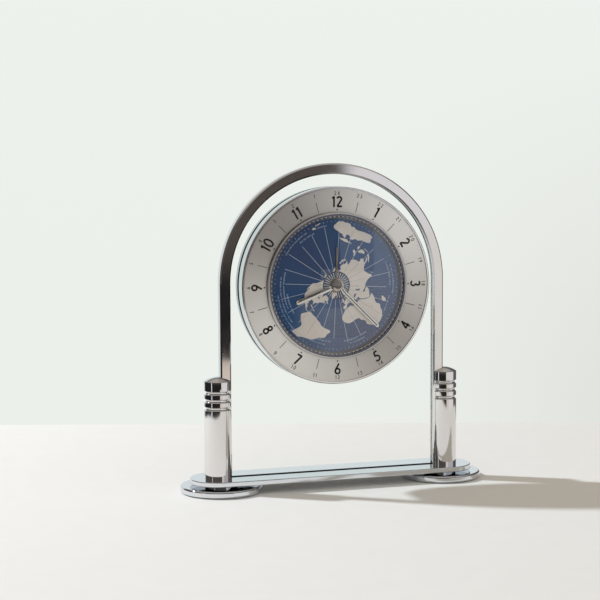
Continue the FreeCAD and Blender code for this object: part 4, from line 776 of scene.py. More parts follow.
# %% Print the numeral ring
ink = finish("dial ink", (18, 18, 20), (9, 9, 10), (0.42, 0.55), "grain", 2600.0,
             bump=0.002, fine_tone=0.4)
fine_ink = finish("fine dial ink", (64, 60, 56), (44, 41, 38), (0.42, 0.55), "grain", 2600.0,
                  bump=0.002, fine_tone=0.4)
HOUR_STEP = 30
HOUR_RADIUS = 57.3
HOUR_HEIGHT = 7.5
HOUR_STROKE = 1.28
DAY_HOUR_RADIUS = 63.1
DAY_HOUR_HEIGHT = 2.6
DAY_HOUR_STROKE = 0.4
DAY_HOUR_GAP = 0.4
DOT_CIRCLE = 51.9
DOT_RADIUS = 0.52
HALF_HOUR_LINE = np.array((51.6, 58.6))
HALF_HOUR_WIDTH = 0.42
LOWER_HALF_START = 95
LOWER_HALF_END = 265


def reading_lean(clock_degrees):
    """Upright in the upper half of the dial, turned over in the lower half."""
    lower = LOWER_HALF_START < clock_degrees % 360 < LOWER_HALF_END
    return clock_degrees + 180 if lower else clock_degrees


def numbers_round(count, radius, height, stroke, text_of, gap=DIGIT_GAP):
    """Numbers at equal steps round the dial, each turned so that it can be read."""
    patches = []
    for step in range(count):
        bearing = step * 360 / count
        for patch in number(text_of(step), height, stroke, gap):
            patches.append(stand(patch, around(radius, bearing), reading_lean(bearing)))
    return patches


def lay_on_ring(name, patches, material):
    """A print on the face of the numeral ring."""
    lay(name, patches, front_of("numeral_ring"), "clock_stand", material)


hours = numbers_round(12, HOUR_RADIUS, HOUR_HEIGHT, HOUR_STROKE, lambda step: str(step or 12))
lay_on_ring("hour_numerals", hours, ink)
day_hours = numbers_round(24, DAY_HOUR_RADIUS, DAY_HOUR_HEIGHT, DAY_HOUR_STROKE,
                          lambda step: str(24 - step), DAY_HOUR_GAP)
lay_on_ring("day_hour_numbers", day_hours, fine_ink)
dots = [outline(arc(around(DOT_CIRCLE, step * HOUR_STEP), (DOT_RADIUS, DOT_RADIUS), 0, 345, 24))
        for step in range(12)]
lay_on_ring("hour_dots", dots, ink)
half_lines = [ribbon(around(HALF_HOUR_LINE, (step + 0.5) * HOUR_STEP), HALF_HOUR_WIDTH)
              for step in range(12)]
lay_on_ring("half_hour_lines", half_lines, fine_ink)

# %% [markdown]
# ## The map disc
# The map looks down on the north pole. A place is drawn at a radius that grows evenly with
# its distance from the pole, and its longitude runs against the clock, so that the earth's
# turning carries each country past the hours. Coasts are a few points of longitude and
# latitude, drawn and rounded by cutting corners twice.

# %% From longitude and latitude to the disc
MAP_RADIUS = (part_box("map_disc")[1][0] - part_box("map_disc")[0][0]) / 2 / MM
EDGE_DISTANCE = 139.0
EDGE_MARGIN = 1.4
ZERO_BEARING = 153.0


def on_map(places):
    """Azimuthal equidistant: radius is the angle from the pole, bearing is minus longitude."""
    places = np.asarray(places, float)
    radius = np.minimum((90 - places[:, 1]) / EDGE_DISTANCE * MAP_RADIUS, MAP_RADIUS - EDGE_MARGIN)
    return around(radius, ZERO_BEARING - places[:, 0])


def round_off(path, times=2):
    """Cuts every corner at a quarter and three quarters of each side, as often as asked."""
    for _ in range(times):
        ahead = np.roll(path, -1, axis=0)
        near, far = 0.75 * path + 0.25 * ahead, 0.25 * path + 0.75 * ahead
        path = np.stack((near, far), axis=1).reshape(-1, 2)
    return path


print("map radius", round(MAP_RADIUS, 2), "mm, equator at", round(90 / EDGE_DISTANCE * MAP_RADIUS, 1))

# %% [markdown]
# ## Coasts
# Only the large shapes and the islands that would be missed are drawn, each with as few
# points as keep it known. The three continents of the old world come first.

# %% Europe, Asia and Africa
EURASIA = [
    (-9, 37), (-9, 43), (-1.5, 43.5), (-1, 46), (-4.5, 48.5), (1.5, 50), (4.5, 52.5), (8.5, 54),
    (8.5, 57), (10.5, 57.5), (10, 54.5), (14, 54), (19, 54.8), (21, 57), (24, 59), (29, 60), (23, 60),
    (21.5, 61.5), (25, 65), (22, 65.8), (18, 62), (18.5, 60), (16.5, 57), (14, 55.5), (11.5, 58.5),
    (8, 58), (5, 60), (6, 62.5), (12, 66), (17, 69), (25, 71), (31, 70), (41, 67), (34, 66.5), (38, 64),
    (44, 66), (46, 68.2), (60, 69), (68, 68.5), (67, 72), (73, 73), (87, 75), (105, 77.5), (113, 74),
    (128, 73), (140, 72.5), (152, 71), (162, 69.5), (170, 70), (180, 69), (190, 66.5), (186, 64.5),
    (180, 65), (177, 62.5), (170, 60), (163, 58), (162, 55), (157, 51.2), (155.5, 55), (157, 58),
    (163, 61.5), (155, 59.5), (143, 59), (135.5, 54.8), (141, 52), (140, 48), (135, 44), (130.5, 42.5),
    (128, 39), (129.3, 36), (126.5, 34.5), (126.5, 37.5), (121.5, 40), (118, 39), (122.5, 37),
    (119.5, 35), (122, 31), (120, 26), (114, 22.3), (108.5, 21.5), (106, 19), (109, 13), (105, 9),
    (103, 11), (100.5, 13.4), (99.5, 10), (103, 5), (104, 1.4), (101, 3), (98.5, 8), (98, 14), (93, 20),
    (90, 22.3), (87, 21), (82, 17), (80, 13.5), (77.5, 8.2), (75, 12.5), (72.8, 19), (69, 22.5),
    (66.5, 25.3), (57, 26.5), (50, 30), (48, 29.8), (51, 25), (56.3, 26), (59.5, 22.5), (55, 17),
    (45, 12.8), (43, 13), (39, 20), (35, 28), (34.5, 31.5), (36, 36), (31, 36.8), (27, 37), (26.5, 40),
    (29, 41.2), (35, 42), (41.5, 41.5), (37.5, 44.8), (39, 47), (35.5, 45.3), (30.5, 46), (28, 43.5),
    (28.5, 41.3), (23.5, 40.3), (24, 38), (22.5, 36.6), (19, 42), (13.5, 45.5), (12.5, 44), (18, 40),
    (16, 38), (15.5, 40), (9, 44.3), (3.2, 43), (-0.5, 39.5), (-2, 36.8), (-5.5, 36.1),
]
AFRICA = [
    (-6, 35.5), (-9.5, 31), (-13, 27.5), (-17, 21), (-16.5, 15), (-13, 8.5), (-8, 4.6), (-2, 5),
    (4, 6.4), (9.5, 3.8), (9, -1), (12.5, -6), (13.5, -11), (12, -16.5), (14.5, -22.5), (18.5, -34),
    (21, -34.5), (27, -33.5), (31.5, -29.5), (35.3, -24), (35.5, -20), (40.5, -15), (39, -7),
    (41.5, -1.8), (46, 2.5), (51, 11.5), (44, 11), (42.5, 12.5), (37.2, 20), (34, 27), (32.5, 30),
    (25, 31.7), (19, 30.3), (15.5, 32), (10.5, 34), (10.5, 37), (5, 36.8), (-2, 35.2),
]
print("Eurasia", len(EURASIA), "points, Africa", len(AFRICA))

# %% [markdown]
# The two Americas follow, with the long coasts of the north and the deep bay that cuts
# into them. The southern one runs off the disc, so its tip is held at the rim.

# %% The Americas and Greenland
NORTH_AMERICA = [
    (-168, 65.7), (-161, 66.4), (-166, 68.5), (-156, 71.3), (-141, 69.7), (-128, 70.2), (-115, 68.5),
    (-95, 68), (-94, 72), (-86, 69.5), (-81.5, 68), (-87, 65), (-94, 61), (-94, 58.5), (-88, 56.6),
    (-82, 55), (-82, 52.5), (-79, 51.3), (-79, 54.5), (-77, 57.5), (-78, 62), (-74, 62.3), (-70, 59.5),
    (-65, 60), (-61, 56.5), (-56, 52.5), (-59.5, 50.2), (-66, 50.2), (-71, 47), (-65, 48.8), (-64, 46),
    (-61, 46), (-65.5, 43.5), (-70.5, 43.2), (-70, 41.7), (-74, 40.5), (-76, 35), (-81, 31.5),
    (-80.2, 26), (-81.2, 25.2), (-82.7, 28.5), (-84.5, 30), (-90, 29.2), (-94.5, 29.4), (-97.3, 27),
    (-97.7, 22), (-95, 18.5), (-91, 18.6), (-90.3, 21), (-87, 21.4), (-88.3, 16), (-83.4, 15),
    (-83.5, 11), (-81, 8.8), (-77.5, 8.9), (-78.5, 7.2), (-83, 8.3), (-86, 11), (-92, 14.3),
    (-101.5, 17.5), (-105.5, 20.3), (-109.5, 26.5), (-113, 31), (-114.7, 31.5), (-112, 27.5),
    (-109.5, 23), (-115, 28.5), (-117.2, 32.5), (-120.7, 34.6), (-122.5, 37.5), (-124.3, 40.5),
    (-124, 46), (-128, 51), (-131, 55), (-135, 58.5), (-140, 59.8), (-146, 61), (-151.5, 59.3),
    (-160, 55.5), (-164.5, 54.6), (-157.5, 58.5), (-162, 58.8), (-165, 61), (-161, 64), (-166, 64.4),
]
SOUTH_AMERICA = [
    (-77.3, 8.6), (-75, 10.8), (-71.6, 12.3), (-68, 10.8), (-62, 10.6), (-58, 7.5), (-52, 5), (-50, 1),
    (-44, -2.6), (-39, -3.4), (-35.2, -5.6), (-35, -9), (-39, -14), (-39.5, -19), (-41.5, -22.7),
    (-48, -25.5), (-49, -28.8), (-53, -33.8), (-57, -36), (-62.3, -39), (-65, -42), (-66, -47),
    (-75, -48), (-73.5, -42), (-73, -37), (-71.3, -30), (-70.3, -20), (-76, -14), (-81, -6),
    (-80, -2.5), (-79, 1.2), (-77.3, 4),
]
GREENLAND = [
    (-43, 60), (-48, 61), (-53, 66), (-54, 70), (-58, 75), (-68, 76), (-72, 78.5), (-60, 82),
    (-40, 83.4), (-22, 82.5), (-12, 81.5), (-20, 77), (-20, 73), (-24, 70.2), (-33, 68), (-40, 65),
]
print("the Americas", len(NORTH_AMERICA) + len(SOUTH_AMERICA), "points")

# %% [markdown]
# Last come Australia, the islands and the largest inland waters. Small shapes need only three
# to ten points, because a millimetre on the disc is more than three degrees of the earth.

# %% Australia, islands and inland waters
AUSTRALIA = [
    (114, -21.5), (112, -26), (114.5, -32), (113.5, -36.5), (117, -38.5), (121, -36.5), (125, -35.5),
    (130, -33), (133, -34), (135.5, -38.5), (137.4, -34.5), (138.6, -40), (141, -42.5), (145, -42),
    (147, -44.5), (151.5, -43), (153.5, -38), (156, -34), (154.5, -27), (151, -23.5), (149, -20),
    (146, -18.5), (145, -14.5), (142.4, -9.6), (141.4, -13), (141.2, -18.8), (137.5, -18),
    (135.6, -14.5), (136.6, -11), (131.5, -10.8), (129.8, -15.5), (126.5, -13.4), (124, -16),
    (121.5, -18.5), (118, -19.5),
]
ISLANDS = [
    [(131, -1), (135, -3.2), (139, -1.8), (145, -4.5), (150.5, -10.5), (146, -8.8), (143, -9.2),
     (138.5, -8.2), (137.8, -5.2), (133, -4)],
    [(109, 1.5), (113, 3.2), (117, 7), (119, 5), (117.5, 1), (116, -3.8), (111, -3.2), (110, -1)],
    [(95.3, 5.6), (98, 4.2), (103.5, -0.5), (106, -3.2), (105.5, -5.8), (101.5, -3), (98.5, 1.2)],
    [(105.3, -6.7), (108.5, -6.7), (113, -6.9), (114.5, -8.5), (108.5, -7.8)],
    [(119.2, -3.2), (119.7, 0.8), (124.5, 1.3), (121, 0), (123, -1), (121.5, -2), (122.5, -4.8),
     (120.3, -5.4)],
    [(120.5, 18.2), (122.2, 18.2), (121.7, 14.2), (125.5, 11.5), (126.3, 7), (124, 6.2), (122, 8),
     (120.2, 13.8)],
    [(130.2, 32), (135.5, 33.6), (140.2, 35.2), (141.8, 39.5), (145.3, 43.2), (141.8, 45.4),
     (140, 40.5), (136.5, 37), (130.5, 34)],
    [(80, 9.5), (81.7, 7.5), (80.5, 6)],
    [(173, -34.8), (178.3, -37.8), (175.5, -41.3), (174, -39.3)],
    [(172.8, -40.8), (174, -41.8), (169.5, -46.4), (167, -45.5)],
    [(44, -17), (49.5, -12.5), (50, -16), (47, -25), (44.5, -24.5)],
    [(-84.5, 22), (-80, 23.1), (-74.5, 20.2), (-77.5, 19.9)],
    [(-74.2, 19.8), (-69, 19.4), (-71, 17.8), (-74, 18.3)],
    [(-5.5, 50), (1, 51), (1.5, 53), (-2, 56), (-2, 57.7), (-5, 58.5), (-5.5, 55.5), (-3.2, 54),
     (-4.8, 52)],
    [(-10, 52), (-6.3, 52.3), (-6, 54.8), (-10, 54)],
    [(-24, 65.5), (-22.5, 64), (-18.5, 63.5), (-14, 65), (-16, 66.4), (-21, 66)],
    [(-59, 47.7), (-53, 46.8), (-53.5, 49), (-56, 51.3)],
    [(-62, 66.5), (-68, 70), (-78, 72.5), (-88, 73.5), (-84, 70), (-73, 67.5), (-72, 64.5),
     (-66, 62.3)],
    [(-105, 68.8), (-116, 69.3), (-118, 71.5), (-112, 73), (-105, 72.5), (-102, 70)],
    [(-124, 71.5), (-124, 74), (-117, 74.5), (-120, 71.5)],
    [(-80, 76.5), (-90, 77.5), (-92, 80.5), (-85, 82.3), (-65, 82.8), (-70, 80), (-77, 78.5)],
    [(-92, 75.2), (-82, 74.7), (-80, 75.6), (-91, 76.8)],
    [(52, 71), (57, 71), (61, 74.5), (68, 76.5), (63, 76), (55.5, 73.5)],
    [(12, 78.5), (17, 76.8), (23, 78), (25, 80.2), (14, 79.9)],
    [(138, 74), (150, 75), (140, 76)],
]
WATERS = [
    [(47, 44.5), (50, 46.8), (53, 46.5), (51, 44.5), (53.5, 41), (54, 37), (50, 37.3), (49.3, 40.5)],
    [(-92, 46.8), (-88, 48.8), (-84.5, 46.7)],
    [(-87.8, 42), (-85, 45.8), (-80.2, 44.5), (-82.5, 43)],
    [(58.5, 44), (60, 46.5), (61.5, 45), (60, 43.8)],
    [(31.8, -1), (34, -0.2), (33, -2.4)],
]
print("islands", len(ISLANDS), "inland waters", len(WATERS))

# %% [markdown]
# ## Printing the map
# The sea is the disc itself, in a deep blue lacquer over brushed metal. On it lie pale
# meridians every fifteen degrees, one for each hour, then the land, which covers them, and
# on the land the same meridians again as faint lines. Round the pole a small blue disc with
# short bright lines lies over both. Each layer is a print of its own, and a small table says
# how many print thicknesses high it lies.

# %% The map's inks
# Painted highlight and shade: the sea and pole blue use the rings effect, so they are painted darker
# towards upper left and lower right.
sea = finish("sea blue", (2, 77, 133), (1, 51, 102), (0.3, 0.42), "rings", 2200.0,
             metal=0.25, bump=0.0008, fine_tone=0.3, coat_weight=0.35, coat_roughness=0.15)
land_silver = finish("land silver", (244, 236, 232), (194, 187, 182), (0.34, 0.46), "spokes", 34.0,
                     metal=0.35, bump=0.001, fine_tone=0.55)
line_silver = finish("map line silver", (208, 214, 224), (176, 186, 204), (0.35, 0.5), "grain",
                     2600.0, metal=0.2, bump=0.001, fine_tone=0.4)
land_line = finish("land line grey", (156, 148, 138), (130, 122, 112), (0.4, 0.5), "grain", 2600.0,
                   bump=0.001, fine_tone=0.4)
pole_blue = finish("pole blue", (18, 52, 98), (10, 34, 72), (0.3, 0.42), "rings", 2200.0,
                   metal=0.25, bump=0.0008, fine_tone=0.3)
pole_silver = finish("pole line silver", (226, 230, 238), (200, 208, 222), (0.35, 0.5), "grain",
                     2600.0, metal=0.2, bump=0.001, fine_tone=0.4)
dim_line = finish("small mark blue", (158, 174, 204), (134, 152, 186), (0.4, 0.5), "grain", 2600.0,
                  bump=0.001, fine_tone=0.4)
dress("world_map", sea)
MAP_LAYERS = {"land": 2.0, "pole_disc": 2.4, "inland_water": 2.6, "land_meridians": 2.8,
              "pole_lines": 3.0, "greenland": 3.6}


def lay_on_map(name, patches, material):
    """A print on the map disc, as high as its layer says, or one print thickness high."""
    height = MAP_LAYERS.get(name, 1.0) * PRINT
    lay(name, patches, front_of("map_disc"), "world_works", material, height)

# %% [markdown]
# Lines along the radius are ribbons between two radii. The meridians start under the pole's
# disc and end unevenly before the rim. The rim has a dash for each quarter of an hour, and
# every fourth one is longer.

# %% Meridians, the pole's ring of lines, and the rim
POLE_DISC_RADIUS = 9.8
MERIDIAN_START = 9.0
MERIDIAN_END = 38.5
MERIDIAN_SWING = 2.5
MERIDIAN_WIDTH = 0.27
POLE_LINE_START = 4.8
POLE_LINE_END = 8.9
POLE_LINE_WIDTH = 0.4
RIM_LONG_START = 43.0
RIM_SHORT_START = 43.8
RIM_END = 44.5
RIM_DASH_WIDTH = 0.34


def radial_lines(bearings, inner, outer, width):
    """Straight ribbons along the radius, one for each bearing, between one or many radii."""
    inner = np.broadcast_to(inner, len(bearings))
    outer = np.broadcast_to(outer, len(bearings))
    return [ribbon(around(np.array((start, end)), bearing), width)
            for bearing, start, end in zip(bearings, inner, outer)]


def bearings_round(count):
    """Equal steps round the map, the first on the meridian of nought degrees."""
    return ZERO_BEARING + np.arange(count) * (360 / count)


line_ends = MERIDIAN_END + MERIDIAN_SWING * np.sin(np.arange(24) * 2.1)
meridians = radial_lines(bearings_round(24), MERIDIAN_START, line_ends, MERIDIAN_WIDTH)
lay_on_map("meridians", meridians, line_silver)
pole_disc = [outline(arc((0, 0), (POLE_DISC_RADIUS, POLE_DISC_RADIUS), 0, 354, 60))]
lay_on_map("pole_disc", pole_disc, pole_blue)
pole_lines = radial_lines(bearings_round(30), POLE_LINE_START, POLE_LINE_END, POLE_LINE_WIDTH)
lay_on_map("pole_lines", pole_lines, pole_silver)
rim_starts = np.where(np.arange(96) % 4 == 0, RIM_LONG_START, RIM_SHORT_START)
rim_dashes = radial_lines(bearings_round(96), rim_starts, RIM_END, RIM_DASH_WIDTH)
lay_on_map("rim_dashes", rim_dashes, dim_line)

# %% [markdown]
# Between the numbered ring and the map runs a narrow dark track with a light dash for every
# quarter of an hour. It lies on the front edge of the wall round the map, under the glass.
# The lip that holds the glass gets the same dark tone on its inner half as a painted shade,
# so only a thin bright edge is left of it.

# %% The track round the map
# One dark tone serves the printed track and the painted shade on the lip; both tones carry the rings
# effect's painted highlight lobes.
track_ink_and_lip_shade = finish("track ink and lip shade", (108, 110, 126), (74, 77, 96), (0.3, 0.42), "rings", 2200.0,
                    metal=0.5, bump=0.0008, fine_tone=0.4)
track_light = finish("track dash", (224, 224, 228), (196, 196, 202), (0.3, 0.42), "grain", 2600.0,
                     metal=0.2, bump=0.001, fine_tone=0.3)
WALL_FRONT = front_of("inner_wall_ring")
LIP_FRONT = front_of("crystal_ring")
TRACK_RADIUS = 47.1
TRACK_WIDTH = 1.3
LIP_RADIUS = 48.4
LIP_WIDTH = 1.0
DASH_HALF_LENGTH = 0.55
DASH_WIDTH = 0.55
DASH_SHIFT = 1.9
track = [hoop(TRACK_RADIUS, TRACK_WIDTH)]
lay("track", track, WALL_FRONT, "clock_stand", track_ink_and_lip_shade)
# Painted shade: a dark hoop on the inner half of the lip.
lip_painted_shade = [hoop(LIP_RADIUS, LIP_WIDTH)]
lay("lip_painted_shade", lip_painted_shade, LIP_FRONT, "clock_stand", track_ink_and_lip_shade)
dash_turns = np.radians(bearings_round(96) + DASH_SHIFT)
outward = np.stack((np.sin(dash_turns), np.cos(dash_turns)), axis=1)
half_dashes = np.stack((outward[:, 1], -outward[:, 0]), axis=1) * DASH_HALF_LENGTH
track_dashes = [ribbon(np.array((way * TRACK_RADIUS - half, way * TRACK_RADIUS + half)), DASH_WIDTH)
                for way, half in zip(outward, half_dashes)]
lay("track_dashes", track_dashes, WALL_FRONT, "clock_stand", track_light, 2 * PRINT)

# %% [markdown]
# The land is printed over the meridians, and Greenland, which reaches over the pole's disc,
# higher than the rest. Lakes are patches of the sea's blue on the land. The lines on the land
# are given by longitude and by the latitudes where they start and end.

# %% Land, inland water and the lines on the land
def shores(coasts):
    """Rounded outlines on the disc, one for each list of places."""
    return [outline(round_off(on_map(coast))) for coast in coasts]


land = shores([EURASIA, AFRICA, NORTH_AMERICA, SOUTH_AMERICA, AUSTRALIA] + ISLANDS)
lay_on_map("land", land, land_silver)
lay_on_map("greenland", shores([GREENLAND]), land_silver)
lay_on_map("inland_water", shores(WATERS), sea)
LAND_LINE_WIDTH = 0.16
LAND_MERIDIANS = (
    (0, 6, 35), (15, -10, 31), (30, -22, 30), (30, 47, 67), (45, 48, 66), (60, 38, 66), (75, 22, 66),
    (90, 28, 72), (105, 24, 74), (120, 42, 71), (135, 58, 70), (135, -30, -15), (150, 61, 69),
    (-60, -28, 4), (-45, -18, -5), (-75, -10, 4), (-90, 32, 46), (-105, 24, 66), (-120, 38, 66),
    (-150, 62, 69), (-45, 64, 81),
)
land_lines = [ribbon(on_map(((longitude, south), (longitude, north))), LAND_LINE_WIDTH)
              for longitude, south, north in LAND_MERIDIANS]
lay_on_map("land_meridians", land_lines, land_line)

# %% [markdown]
# ## Rows of small marks
# The outer part of the sea looks busy from afar, with fine pale marks in short rows. Each row
# is a run of plain upright bars along a circle, too small to stand for anything. Chance sets
# their heights and the wider gaps, from a fixed seed, so that every run gives the same rows.

# %% Rows of plain bars
EVEN_STEP = 0.66
WIDE_STEP = 1.35
WIDE_GAP_SHARE = 0.16
MARK_BAR_WIDTH = 0.36
MARK_BAR_HEIGHTS = (0.7, 1.15)
LONGEST_ROW = 90


def dash_row(radius, start, end, seed):
    """Upright bars along a circle: an even step, a wider gap now and then, heights by chance."""
    chance = np.random.default_rng(seed)
    steps = np.where(chance.random(LONGEST_ROW) < WIDE_GAP_SHARE, WIDE_STEP, EVEN_STEP)
    places_along = np.cumsum(steps)
    places_along = places_along[places_along < math.radians(end - start) * radius]
    bearings = start + np.degrees(places_along / radius)
    heights = chance.uniform(*MARK_BAR_HEIGHTS, len(bearings))
    return radial_lines(bearings, radius, radius + heights, MARK_BAR_WIDTH)


ROWS = ((38.6, 66, 92), (41.0, 70, 100), (38.8, 100, 118), (37.2, 246, 285), (39.4, 232, 280),
        (41.6, 226, 262), (35.0, 238, 262), (38.4, 146, 172), (40.8, 150, 166), (38.2, 186, 204),
        (40.6, 190, 212), (41.4, 300, 330), (38.6, 318, 336), (41.0, 340, 352))
marks = [mark for seed, (radius, start, end) in enumerate(ROWS, 1)
         for mark in dash_row(radius, start, end, seed)]
lay_on_map("map_marks", marks, dim_line)

# %% [markdown]
# ## Hands
# The hour hand is a baton with a raised middle: two facets meet in a ridge, so one side
# always catches the light and the other goes dark. The minute hand is flat with a dark
# line let into it, and the alarm hand is thin and brown. A dark disc lies on the cap, which
# has a duller silver of its own. Each rides on its hand's body and turns with it.

# %% Facets and the inlaid line
hand_metal = finish("hand silver", (224, 222, 218), (204, 202, 198), (0.12, 0.2), "polish", 300.0,
                    metal=1.0, bump=0.0006, fine_tone=0.3)
alarm_brown = finish("alarm hand brown", (150, 132, 116), (118, 100, 86), (0.3, 0.4), "polish",
                     300.0, metal=0.7, bump=0.0006, fine_tone=0.3)
line_black = finish("hand inlay black", (40, 38, 38), (22, 21, 21), (0.35, 0.5), "grain", 2600.0,
                    bump=0.001, fine_tone=0.3)
cap_dark = finish("hand cap dark", (88, 83, 78), (58, 54, 51), (0.3, 0.42), "polish", 700.0,
                  metal=0.6, bump=0.0008, fine_tone=0.3)
cap_silver = finish("hand cap silver", (196, 190, 184), (168, 162, 156), (0.18, 0.28), "polish",
                    260.0, metal=1.0, bump=0.0008, fine_tone=0.3)
dress("hand_silver", hand_metal)
frame["nodes"]["hand_cap"].material_slots[0].material = cap_silver
dress("alarm_hand", alarm_brown)
HOUR_BEARING = 248.4
HOUR_ROOF_START = 4.2
HOUR_ROOF_END = 31.2
HOUR_ROOF_WIDTH = 2.9
HOUR_ROOF_RISE = 0.34
MINUTE_BEARING = 134.5
INLAY_SPAN = np.array((4.4, 40.2))
INLAY_WIDTH = 0.74
CAP_FACE_RADIUS = 2.8
ROOF_ROWS = 12
ROOF_WALL = 0.05 * MM


def ridge(name, inner, outer, width, height, bearing, depth, body, material):
    """A roof along a hand: its eaves lie on the face and its ridge stands height above it.
    The half width follows a quarter circle at both ends, so that the ends are round."""
    along = np.linspace(inner, outer, ROOF_ROWS)
    from_inner = np.clip((along - inner) / (width / 2), 0, 1)
    to_outer = np.clip((outer - along) / (width / 2), 0, 1)
    half = width / 2 * np.sqrt(1 - (1 - to_outer * from_inner) ** 2)
    eaves = np.zeros(ROOF_ROWS)
    across = np.stack((-half, eaves, half), axis=1)
    rise = np.stack((eaves, height * (half / (width / 2)), eaves), axis=1)
    turn = math.radians(bearing)
    x = along[:, None] * math.sin(turn) + across * math.cos(turn)
    z = along[:, None] * math.cos(turn) - across * math.sin(turn)
    points = np.stack((DIAL_X + x * MM, depth - rise * MM, DIAL_Z + z * MM), axis=2).reshape(-1, 3)
    roof = piece(name, points, grid_faces(ROOF_ROWS, 3), body, material)
    middle_face = roof.data.polygons[ROOF_ROWS - 2]
    if middle_face.normal.dot(Vector((0, -1, 0))) < 0:
        roof.data.flip_normals()
    thicken(roof, ROOF_WALL)
    print(name, len(roof.data.polygons), "faces before its wall")


ridge("hour_hand_facets", HOUR_ROOF_START, HOUR_ROOF_END, HOUR_ROOF_WIDTH, HOUR_ROOF_RISE,
      HOUR_BEARING, front_of("hour_hand"), "hour_works", hand_metal)
inlay = [ribbon(around(INLAY_SPAN, MINUTE_BEARING), INLAY_WIDTH)]
lay("minute_hand_line", inlay, front_of("minute_hand"), "minute_works", line_black)
cap_face = [outline(arc((0, 0), (CAP_FACE_RADIUS, CAP_FACE_RADIUS), 0, 352, 45))]
lay("hand_cap_face", cap_face, front_of("hand_cap"), "minute_works", cap_dark)

# %% [markdown]
# ## The back
# The back is where the clock is set: two fluted knobs, a slide for the alarm and a battery
# door. Such backs carry curved arrows beside the knobs, a bar and a ring at the two ends of
# the slide, plus and minus on the door and a few raised ribs for the thumb. They are drawn
# as seen from behind, so left and right change places on the way to the model.

# %% Marks and ribs on a face that looks back
def lay_behind(name, patches, depth, body, material, thickness=PRINT):
    """Patches drawn as seen from behind, laid on a face at that depth and closed by a wall."""
    flat, faces = gather(patches)
    back = np.full(len(flat), depth + thickness)
    solid = np.stack((DIAL_X - flat[:, 0], back, DIAL_Z + flat[:, 1]), axis=1)
    thicken(piece(name, solid, faces, body, material), thickness)
    print(name, len(patches), "patches")


def middle_behind(node):
    """A node's middle as seen from behind, in millimetres from the dial's middle."""
    low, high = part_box(node)
    return np.array((DIAL_X - (low[0] + high[0]) / 2, (low[2] + high[2]) / 2 - DIAL_Z)) / MM


MARK_WIDTH = 0.45
HEAD_LENGTH = 1.5
HEAD_HALF_WIDTH = 0.85


def turn_arrow(centre, radius, start, end):
    """An arc with a three-cornered head at its end: the way a knob is turned."""
    head_turn = math.radians(end)
    out = np.array((math.cos(head_turn), math.sin(head_turn)))
    along = np.array((-out[1], out[0])) * math.copysign(1, end - start)
    tip = centre + out * radius + along * HEAD_LENGTH
    outer = centre + out * (radius + HEAD_HALF_WIDTH)
    inner = centre + out * (radius - HEAD_HALF_WIDTH)
    shaft = ribbon(arc(centre, (radius, radius), start, end, 24), MARK_WIDTH)
    return [shaft, outline([tip, outer, inner])]


def bar_at(centre, start, end, width):
    """A straight bar between two places given from a centre."""
    return ribbon(bar(start, end) + centre, width)


def cross(centre, reach, width):
    """Two short bars across each other, such as a plus or a screw's recess."""
    return [bar_at(centre, (-reach, 0), (reach, 0), width),
            bar_at(centre, (0, -reach), (0, reach), width)]


COVER_FACE = back_of("rear_case")
mark_white = finish("mark white", (206, 205, 200), (182, 181, 176), (0.45, 0.6), "grain", 2600.0,
                    bump=0.002, fine_tone=0.4)
# Painted shade for the hollows of the screw heads.
recess_painted_shade = finish("recess painted shade", (44, 44, 46), (24, 24, 26), (0.4, 0.55), "grain", 2600.0,
                     bump=0.002, fine_tone=0.4)
time_knob = middle_behind("time_set_knob")
alarm_knob = middle_behind("alarm_set_knob")
arrows = turn_arrow(time_knob, 8.4, -75, 15) + turn_arrow(alarm_knob, 6.9, 200, 105)
lay_behind("knob_arrows", arrows, COVER_FACE, "clock_stand", mark_white)
slide = middle_behind("alarm_switch")
slide_marks = [bar_at(slide, (5.6, -1.3), (5.6, 1.3), 0.5),
               hoop(1.2, MARK_WIDTH, 28, slide - (9.6, 0))]
lay_behind("slide_marks", slide_marks, COVER_FACE, "clock_stand", mark_white)

# %% [markdown]
# The door carries raised ribs where the thumb presses, the screws a cross for the driver,
# drawn as a flat dark cross that paints the shade inside the recess, and each knob a ring
# with a short bar, so that a turn can be seen. All of them ride with the piece they are on,
# so the marks on the door swing and those on the knobs turn.

# %% The battery door's ribs and marks, painted shade on the screw heads, and knob faces
RIB_RISE = 0.35 * MM
RIB_PITCH = 1.35
RIB_START = 3.2
RIB_HALF_LENGTH = 5.5
RIB_WIDTH = 0.65
SCREW_INSET = 2.0
RECESS_REACH = 1.15
RECESS_WIDTH = 0.42
KNOB_RING_WIDTH = 0.22
door = middle_behind("battery_door")
door_marks = cross(door + (-21.5, 1.5), 1.3, 0.5) + [bar_at(door, (20.2, 1.5), (22.8, 1.5), 0.5)]
lay_behind("door_marks", door_marks, COVER_FACE, "battery_cover", mark_white)
ribs = [bar_at(door, (-RIB_HALF_LENGTH, level), (RIB_HALF_LENGTH, level), RIB_WIDTH)
        for level in RIB_START + np.arange(4) * RIB_PITCH]
lay_behind("thumb_ribs", ribs, COVER_FACE, "battery_cover", door_black, RIB_RISE)
screw_side = (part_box("back_screws")[1][0] - DIAL_X) / MM - SCREW_INSET
screw_middles = np.array(((screw_side, 0), (-screw_side, 0), (0, screw_side)))
# Painted shade: dark crosses on the screw heads where their recesses would be in shade.
recess_shade_crosses = [arm for middle in screw_middles
            for arm in cross(middle, RECESS_REACH, RECESS_WIDTH)]
lay_behind("screw_recesses", recess_shade_crosses, back_of("back_screws"), "clock_stand", recess_painted_shade)
for knob, knob_body, middle, reach in (("time", "minute_works", time_knob, 4.3),
                                       ("alarm", "alarm_setting", alarm_knob, 2.9)):
    on_knob = [hoop(reach, KNOB_RING_WIDTH, 48, middle),
               bar_at(middle, (0, reach * 0.45), (0, reach * 0.88), MARK_WIDTH)]
    lay_behind(knob + "_knob_face", on_knob, back_of(knob + "_set_knob"), knob_body, mark_white)

